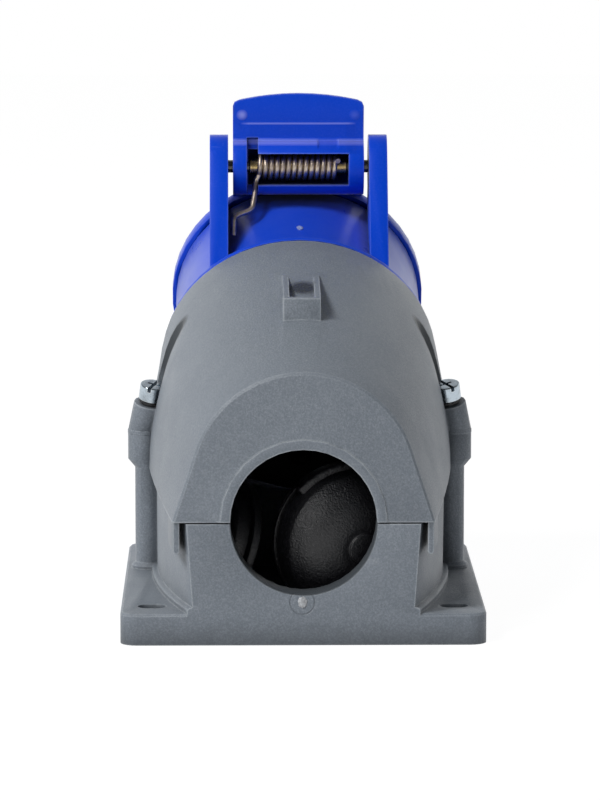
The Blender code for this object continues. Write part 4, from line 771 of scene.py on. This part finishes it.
def makePinSleeve(look):
    half, radius, edge = look["half"], look["radius"], look["round"]
    mesh = spun([(-half, 0), (-half, radius - edge), (-half + edge, radius), (half - edge, radius),
                 (half, radius - edge), (half, 0)], look["steps"])
    mesh.transform(hingeFrame @ Matrix.Rotation(-math.pi / 2, 4, "Z"))
    piece = paintedPiece("pinSleeve", mesh, metals["platedBrass"], 40)
    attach(piece, "lid")


# cover screws: a turned head with a slot and a cross, one model set on both ears

screwLook = {
    "seat": 1.2 * mm, "headRadius": 3.4 * mm, "headHeight": 3.8 * mm, "shaftRadius": 1.9 * mm,
    "length": 15.0 * mm, "round": 0.35 * mm, "roundSteps": 6, "underHead": 0.1 * mm, "crownShare": 0.55,
    "slotWidth": 0.9 * mm, "slotDepth": 1.1 * mm, "crossReach": 1.9 * mm, "crossWidth": 1.0 * mm,
    "crossDepth": 1.7 * mm, "crossTaper": 0.6, "steps": 48,
    "turns": {-1: math.radians(72), 1: math.radians(-64)},
}


def cutWith(mesh, cutters, name):
    # a mesh with each cutter's solid taken away
    body = addObject(name, mesh)
    tools = [addObject(name + "Tool", cutter) for cutter in cutters]
    for tool in tools:
        cut = body.modifiers.new("cut", "BOOLEAN")
        cut.operation = "DIFFERENCE"
        cut.solver = "EXACT"
        cut.object = tool
    result = modifiedMesh(body)
    for old in [body] + tools:
        bpy.data.objects.remove(old)
    return result


def boxMesh(low, high, taper=1.0):
    # a block that narrows towards its low Y end
    points = []
    for y in (low[1], high[1]):
        k = taper if y == low[1] else 1.0
        points += [(low[0] * k, y, low[2] * k), (high[0] * k, y, low[2] * k),
                   (high[0] * k, y, high[2] * k), (low[0] * k, y, high[2] * k)]
    sides = [(0, 1, 2, 3), (7, 6, 5, 4), (0, 4, 5, 1), (1, 5, 6, 2), (2, 6, 7, 3), (3, 7, 4, 0)]
    return plainMesh("block", points, faces=sides)


def screwModel(look):
    seat, radius, top = look["seat"], look["headRadius"], look["seat"] + look["headHeight"]
    edge, shaft, low = look["round"], look["shaftRadius"], -look["length"]
    under = look["underHead"]
    profile = [(low, 0), (low, shaft - edge), (low + edge, shaft), (seat, shaft), (seat, radius - under),
               (seat + under, radius)]
    for i in range(look["roundSteps"] + 1):
        angle = math.pi / 2 * i / look["roundSteps"]
        profile.append((top - edge + edge * math.sin(angle), radius - edge + edge * math.cos(angle)))
    profile += [(top, radius * look["crownShare"]), (top, 0)]
    half, reach = look["slotWidth"] / 2, radius + mm
    slot = boxMesh((-reach, top - look["slotDepth"], -half), (reach, top + mm, half))
    arm, width, deep = look["crossReach"], look["crossWidth"] / 2, top - look["crossDepth"]
    above, taper = top + 0.5 * mm, look["crossTaper"]
    cross = boxMesh((-width, deep, -arm), (width, above, arm), taper)
    crossOther = boxMesh((-arm, deep, -width), (arm, above, width), taper)
    mesh = cutWith(spun(profile, look["steps"]), [slot, cross, crossOther], "screwBlank")
    smoothByAngle(mesh, 32)
    return mesh


def makeScrewTree():
    tree, keys, given, out = newTree("screwsOnPoints", [("Screw", "Object"), ("Material", "Material")])
    info = tree.nodes.new("GeometryNodeObjectInfo")
    tree.links.new(given["Screw"], info.inputs["Object"])
    turn = tree.nodes.new("GeometryNodeInputNamedAttribute")
    turn.data_type = "FLOAT_VECTOR"
    setInputs(turn, Name="turn")
    place = tree.nodes.new("GeometryNodeInstanceOnPoints")
    tree.links.new(given["Geometry"], place.inputs["Points"])
    tree.links.new(info.outputs["Geometry"], place.inputs["Instance"])
    tree.links.new(turn.outputs[0], place.inputs["Rotation"])
    endTree(tree, place.outputs[0], given["Material"], out)
    return tree, keys


screwTree, screwKeys = makeScrewTree()


def makeCoverScrews():
    model = addObject("screwModel", screwModel(screwLook))
    screws = ((-1, "cover_screw_left", "coverScrewLeft"), (1, "cover_screw_right", "coverScrewRight"))
    for side, nodeName, pieceName in screws:
        place = screwFrame(side) @ Matrix.Rotation(screwLook["turns"][side], 4, "Y")
        carrier = plainMesh("screwPoint", [tuple(place.translation)])
        turn = carrier.attributes.new("turn", "FLOAT_VECTOR", "POINT")
        turn.data[0].vector = place.to_euler("XYZ")
        screw = grownMesh(nodeName + "Head", carrier, screwTree, screwKeys,
                          {"Screw": model, "Material": metals["zincPlate"]})
        finishPiece(screw, pieceName, nodeName)
    bpy.data.objects.remove(model)


makeCoverScrews()
makePinSleeve(pinSleeveLook)
print("cover screws and pin sleeve made")


# loose rubber grommets in the wiring space

grommetLook = {
    "radius": 18.5 * mm, "groove": 1.6 * mm, "lip": 1.8 * mm, "slot": 2.2 * mm, "dome": 8.8 * mm,
    "wall": 1.8 * mm, "nipple": 3.8 * mm, "nippleRise": 0.35 * mm, "nippleFoot": 0.3 * mm, "round": 0.35 * mm,
    "ridges": (0.945, 0.995), "ridge": 0.6 * mm, "ridgeHalf": 0.03, "inset": 0.5 * mm, "domeSteps": 14,
    "innerSteps": 10, "steps": 96, "at": (10.2 * mm, -24.0 * mm), "turn": math.radians(18.0),
    "nod": math.radians(4.0), "floor": 2.9 * mm,
}
plugLook = {
    "radius": 16.4 * mm, "lip": 2.2 * mm, "height": 6.4 * mm, "at": (-17.8 * mm, -22.0 * mm),
    "turn": math.radians(-66.0), "nod": math.radians(-20.0), "floor": 2.9 * mm,
    "round": 0.5 * mm, "steps": 72,
}


def roundedProfile(points, radius, steps=4):
    # replaces each inner corner of an (along, radius) line by a small curve
    result = [points[0]]
    for before, corner, after in zip(points, points[1:], points[2:]):
        b, c, a = Vector(before), Vector(corner), Vector(after)
        reach = min(radius, (b - c).length * 0.45, (a - c).length * 0.45)
        start, end = c + (b - c).normalized() * reach, c + (a - c).normalized() * reach
        for k in range(steps + 1):
            t = k / steps
            result.append(tuple(start * (1 - t) ** 2 + c * 2 * t * (1 - t) + end * t ** 2))
    return result + [points[-1]]


def grommetProfile(look):
    neck = look["radius"] - look["groove"]
    rear = 2 * look["lip"] + look["slot"]
    crown = look["radius"] - look["inset"]
    top, nipple = rear + look["dome"], look["nipple"]
    tip = top + look["nippleRise"]
    points = [(tip, 0), (tip, nipple), (top - look["nippleFoot"], nipple)]
    for i in range(1, look["domeSteps"] + 1):
        angle = math.pi / 2 * i / look["domeSteps"]
        radius = nipple + (crown - nipple) * math.sin(angle)
        along = rear + look["dome"] * math.cos(angle)
        for share in look["ridges"]:
            near = (radius / crown - share) / look["ridgeHalf"]
            if abs(near) < 1:
                along += look["ridge"] * (1 - near * near)
        points.append((along, radius))
    lip, slot, outer = look["lip"], look["slot"], look["radius"]
    inner, rise = crown - look["wall"], look["dome"] - look["wall"]
    points += [(lip + slot, outer), (lip + slot, neck), (lip, neck), (lip, outer), (0, outer), (0, inner),
               (rear, inner)]
    for i in range(look["innerSteps"] - 1, 0, -1):
        angle = math.pi / 2 * i / look["innerSteps"]
        points.append((rear + rise * math.cos(angle), inner * math.sin(angle)))
    points.append((rear + rise, 0))
    return roundedProfile(points, look["round"], 3)


def plugProfile(look):
    lip, height, neck = look["lip"], look["height"], look["radius"] - look["lip"]
    outer, inner, ceiling = look["radius"], neck - lip, height - lip
    points = [(height, 0), (height, neck - lip / 2), (height - lip / 2, neck), (lip, neck), (lip, outer),
              (0, outer), (0, inner), (ceiling, inner), (ceiling, 0)]
    return roundedProfile(points, look["round"])


def lyingMatrix(look, profile):
    face = Matrix.Rotation(math.pi, 4, "Z")
    turn = Matrix.Rotation(look["turn"], 4, "Z") @ Matrix.Rotation(look["nod"], 4, "X") @ face
    rise = turn.col[1].z
    lowest = min(along * rise - radius * math.sqrt(1 - rise ** 2) for along, radius in profile)
    return Matrix.Translation((*look["at"], look["floor"] - lowest)) @ turn


def makeRubber(name, nodeName, look, profile):
    mesh = spun(profile, look["steps"])
    mesh.transform(lyingMatrix(look, profile))
    finishPiece(paintedPiece(name, mesh, blackRubber, 50), name, nodeName)


padLook = {
    "from": math.radians(43), "to": math.radians(112), "steps": 90, "inner": 16.4 * mm, "outer": 19.7 * mm,
    "low": 3.8 * mm, "high": 6.9 * mm, "rough": 0.16 * mm, "scale": 1500.0, "sides": 24, "endSize": 0.75,
    "endGrowth": 12,
}


def makeRimPad(look):
    # a rough raised length of the membrane grommet's rim, where it was cut from its runner
    work = bmesh.new()
    rows = []
    sides = look["sides"]
    middle, half = (look["inner"] + look["outer"]) / 2, (look["outer"] - look["inner"]) / 2
    centre, rise = (look["low"] + look["high"]) / 2, (look["high"] - look["low"]) / 2
    for i in range(look["steps"] + 1):
        share = i / look["steps"]
        angle = look["from"] + (look["to"] - look["from"]) * share
        end = min(1.0, look["endSize"] + look["endGrowth"] * min(share, 1 - share))
        row = []
        for k in range(sides):
            turn = 2 * math.pi * k / sides
            wide = math.copysign(abs(math.cos(turn)) ** 0.5, math.cos(turn)) * end
            tall = math.copysign(abs(math.sin(turn)) ** 0.5, math.sin(turn)) * end
            radius, along = middle + half * wide, centre + rise * tall
            point = Vector((radius * math.cos(angle), along, radius * math.sin(angle)))
            point += point.normalized() * look["rough"] * noise.noise(point * look["scale"])
            row.append(work.verts.new(point))
        rows.append(row)
    for lower, upper in zip(rows, rows[1:]):
        for k in range(sides):
            j = (k + 1) % sides
            work.faces.new((lower[k], lower[j], upper[j], upper[k]))
    work.faces.new(rows[0][::-1])
    work.faces.new(rows[-1])
    bmesh.ops.recalc_face_normals(work, faces=work.faces)
    mesh = meshFrom(work, "rimPad")
    mesh.transform(lyingMatrix(grommetLook, grommetProfile(grommetLook)))
    piece = paintedPiece("rimPad", mesh, blackRubber, 60)
    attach(piece, nodeBodies["cable_grommet"])


makeRubber("membraneGrommet", "cable_grommet", grommetLook, grommetProfile(grommetLook))
makeRimPad(padLook)
makeRubber("entryPlug", "blanking_plug", plugLook, plugProfile(plugLook))
print("rubber pieces made")


# small marks of the mould, and the bands that close the ears' joints on the posts

scarLook = {
    "front": {
        "at": frontGateAt, "normal": (0, -1, 0), "size": (1.0 * mm, 1.35 * mm, 0.27 * mm),
        "node": "base_housing", "slot": "grey_plastic", "colour": (0.55, 0.57, 0.60)},
    "collar": {
        "at": (0.28 * mm, 29.5 * mm, 90.22 * mm), "normal": (0.07, -0.37, 0.93),
        "size": (0.75 * mm, 1.0 * mm, 0.35 * mm),
        "node": "socket_body", "slot": "blue_plastic", "colour": (0.34, 0.42, 0.82)},
    "rough": 0.28, "seed": 3.7, "lumpScale": 1.7, "crumbScale": 5.0, "crumbShare": 0.4, "flat": 1.15,
    "cloudScale": 1400.0, "darkShare": 0.55, "roughness": 0.45, "grainScale": 2600.0, "grainStrength": 0.6,
    "grainDepth": 0.0001,
}


def scarMaterial(name, colour):
    made, tree, shader, place = newMaterial(name)
    cloud = rangeNode(tree, noiseNode(tree, place, scarLook["cloudScale"], 3.0), 0.35, 0.65)
    dark = tuple(value * scarLook["darkShare"] for value in colour)
    tree.links.new(mixColour(tree, cloud, dark, colour), shader.inputs["Base Color"])
    setInputs(shader, Roughness=scarLook["roughness"])
    grain = noiseNode(tree, place, scarLook["grainScale"], 2.0)
    bumpNode(tree, shader, grain, scarLook["grainStrength"], scarLook["grainDepth"])
    return made


def makeScar(name, look):
    # the torn-off stub of a moulding gate: an uneven lump, sunk into the surface
    work = bmesh.new()
    bmesh.ops.create_icosphere(work, subdivisions=4, radius=1.0)
    for vert in work.verts:
        direction = vert.co.normalized()
        lump = noise.noise(direction * scarLook["lumpScale"] + Vector((scarLook["seed"], 0, 0)))
        crumb = noise.noise(direction * scarLook["crumbScale"] + Vector((0, scarLook["seed"], 0)))
        reach = 1 + scarLook["rough"] * (lump + scarLook["crumbShare"] * crumb)
        flat = min(1.0, scarLook["flat"] * reach)
        vert.co = Vector((direction.x * reach, direction.y * reach, min(direction.z * flat, 1.0)))
        vert.co = Vector([value * size for value, size in zip(vert.co, look["size"])])
    mesh = meshFrom(work, name)
    turn = Vector(look["normal"]).to_track_quat("Z", "Y").to_matrix().to_4x4()
    mesh.transform(Matrix.Translation(look["at"]) @ turn)
    mesh.shade_smooth()
    mesh.materials.append(scarMaterial(name + "Plastic", look["colour"]))
    piece = addObject(name, mesh)
    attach(piece, nodeBodies[look["node"]])


makeScar("frontGateScar", scarLook["front"])
makeScar("collarGateScar", scarLook["collar"])

bandLook = {
    "centre": (38.02 * mm, 14.19 * mm, 41.57 * mm), "radius": 4.4 * mm, "proud": 0.05 * mm, "half": 0.62 * mm,
    "sunk": 0.1 * mm, "flatShare": 0.7, "round": 0.15 * mm, "steps": 72,
    "names": {-1: "jointBandLeft", 1: "jointBandRight"},
}


def makeJointBand(side):
    outer, half = bandLook["radius"] + bandLook["proud"], bandLook["half"]
    inner, flat = bandLook["radius"] - bandLook["sunk"], half * bandLook["flatShare"]
    profile = [(half, 0), (half, inner), (flat, outer), (-flat, outer), (-half, inner), (-half, 0)]
    mesh = spun(roundedProfile(profile, bandLook["round"], 3), bandLook["steps"])
    x, y, z = bandLook["centre"]
    mesh.transform(Matrix.Translation((side * x, y, z)) @ Matrix.Rotation(math.pi / 2, 4, "X"))
    piece = paintedPiece(bandLook["names"][side], mesh, greyPlastic, 50)
    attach(piece, nodeBodies["base_housing"])


for side in (-1, 1):
    makeJointBand(side)
print("gate scars and joint bands made")


# floor, light and camera

floorLook = {"size": 4.0, "colour": (0.80, 0.80, 0.80), "roughness": 0.9, "glow": 1.09, "shareSeen": 0.88}


def floorMaterial(look):
    # a plain floor for light and shadow, that the camera and mirrors see as near white
    made, tree, shader = newMaterial("floorWhite")[:3]
    setInputs(shader, Base_Color=(*look["colour"], 1.0), Roughness=look["roughness"])
    glow = tree.nodes.new("ShaderNodeEmission")
    setInputs(glow, Strength=look["glow"])
    rays = tree.nodes.new("ShaderNodeLightPath")
    mix = tree.nodes.new("ShaderNodeMixShader")
    seen = mathNode(tree, "MAXIMUM", rays.outputs["Is Camera Ray"], rays.outputs["Is Glossy Ray"])
    seen = mathNode(tree, "MAXIMUM", seen, rays.outputs["Is Transmission Ray"])
    tree.links.new(times(tree, seen, look["shareSeen"]), mix.inputs[0])
    tree.links.new(shader.outputs[0], mix.inputs[1])
    tree.links.new(glow.outputs[0], mix.inputs[2])
    output = next(n for n in tree.nodes if n.type == "OUTPUT_MATERIAL")
    tree.links.new(mix.outputs[0], output.inputs["Surface"])
    return made


def makeFloor(look):
    half = look["size"] / 2
    corners = [(-half, -half, 0), (half, -half, 0), (half, half, 0), (-half, half, 0)]
    mesh = plainMesh("floor", corners, faces=[(0, 1, 2, 3)])
    mesh.materials.append(floorMaterial(look))
    addObject("floor", mesh)


makeFloor(floorLook)

lightPlan = {
    "key": {"at": (-0.80, -0.62, 1.15), "size": 0.42, "power": 14.0, "colour": (1.0, 0.99, 0.98)},
    "front": {"at": (-0.60, -1.10, 0.72), "size": 0.22, "power": 3.4, "colour": (1.0, 1.0, 1.0)},
}
lightTarget = Vector((0, 0.01, 0.055))


def makeLight(name, plan):
    lamp = bpy.data.lights.new(name, "AREA")
    lamp.shape = "DISK"
    lamp.size = plan["size"]
    lamp.energy = plan["power"]
    lamp.color = plan["colour"]
    made = addObject(name, lamp)
    made.location = plan["at"]
    made.rotation_euler = (lightTarget - Vector(plan["at"])).to_track_quat("-Z", "Y").to_euler()


for name, plan in lightPlan.items():
    makeLight(name, plan)

roomLook = {
    "front": 0.25, "rear": 1.4, "depth": (-0.1, 0.8), "overhead": 0.36, "rise": (0.2, 0.6),
    "tint": (0.97, 0.985, 1.0), "white": (1.0, 1.0, 1.0),
}


def makeRoom(look):
    # light from all round: bright low down behind the socket, darker behind the camera and overhead
    world = bpy.data.worlds.new("paleRoom")
    scene.world = world
    world.use_nodes = True
    tree = world.node_tree
    background = next(n for n in tree.nodes if n.type == "BACKGROUND")
    rays = tree.nodes.new("ShaderNodeLightPath")
    seen = mathNode(tree, "MAXIMUM", rays.outputs["Is Camera Ray"], rays.outputs["Is Transmission Ray"])
    heading = splitPlace(tree, tree.nodes.new("ShaderNodeTexCoord").outputs["Generated"])
    depth = rangeNode(tree, heading["Y"], *look["depth"], look["front"], look["rear"])
    overhead = rangeNode(tree, heading["Z"], *look["rise"], 1.0, look["overhead"])
    level = rangeNode(tree, seen, 0.0, 1.0, times(tree, depth, overhead), 1.0)
    tree.links.new(level, background.inputs["Strength"])
    tint = mixColour(tree, seen, look["tint"], look["white"])
    tree.links.new(tint, background.inputs["Color"])


makeRoom(roomLook)

cameraPlan = {
    "at": (-0.01558, -1.0640, 0.19970), "pitch": 7.951, "yaw": 0.831, "focalPixels": 4409.0,
    "picturePixels": 800, "sensor": 36.0, "near": 0.05, "far": 20.0,
}


def makeCamera(plan):
    lens = bpy.data.cameras.new("photoLens")
    lens.sensor_fit = "VERTICAL"
    lens.sensor_height = plan["sensor"]
    lens.lens = plan["focalPixels"] / plan["picturePixels"] * plan["sensor"]
    lens.clip_start = plan["near"]
    lens.clip_end = plan["far"]
    camera = addObject("photoCamera", lens)
    camera.location = plan["at"]
    camera.rotation_euler = (math.radians(90 - plan["pitch"]), 0, -math.radians(plan["yaw"]))
    scene.camera = camera


makeCamera(cameraPlan)
scene.view_settings.view_transform = "Standard"
print("stage, lights and camera ready")
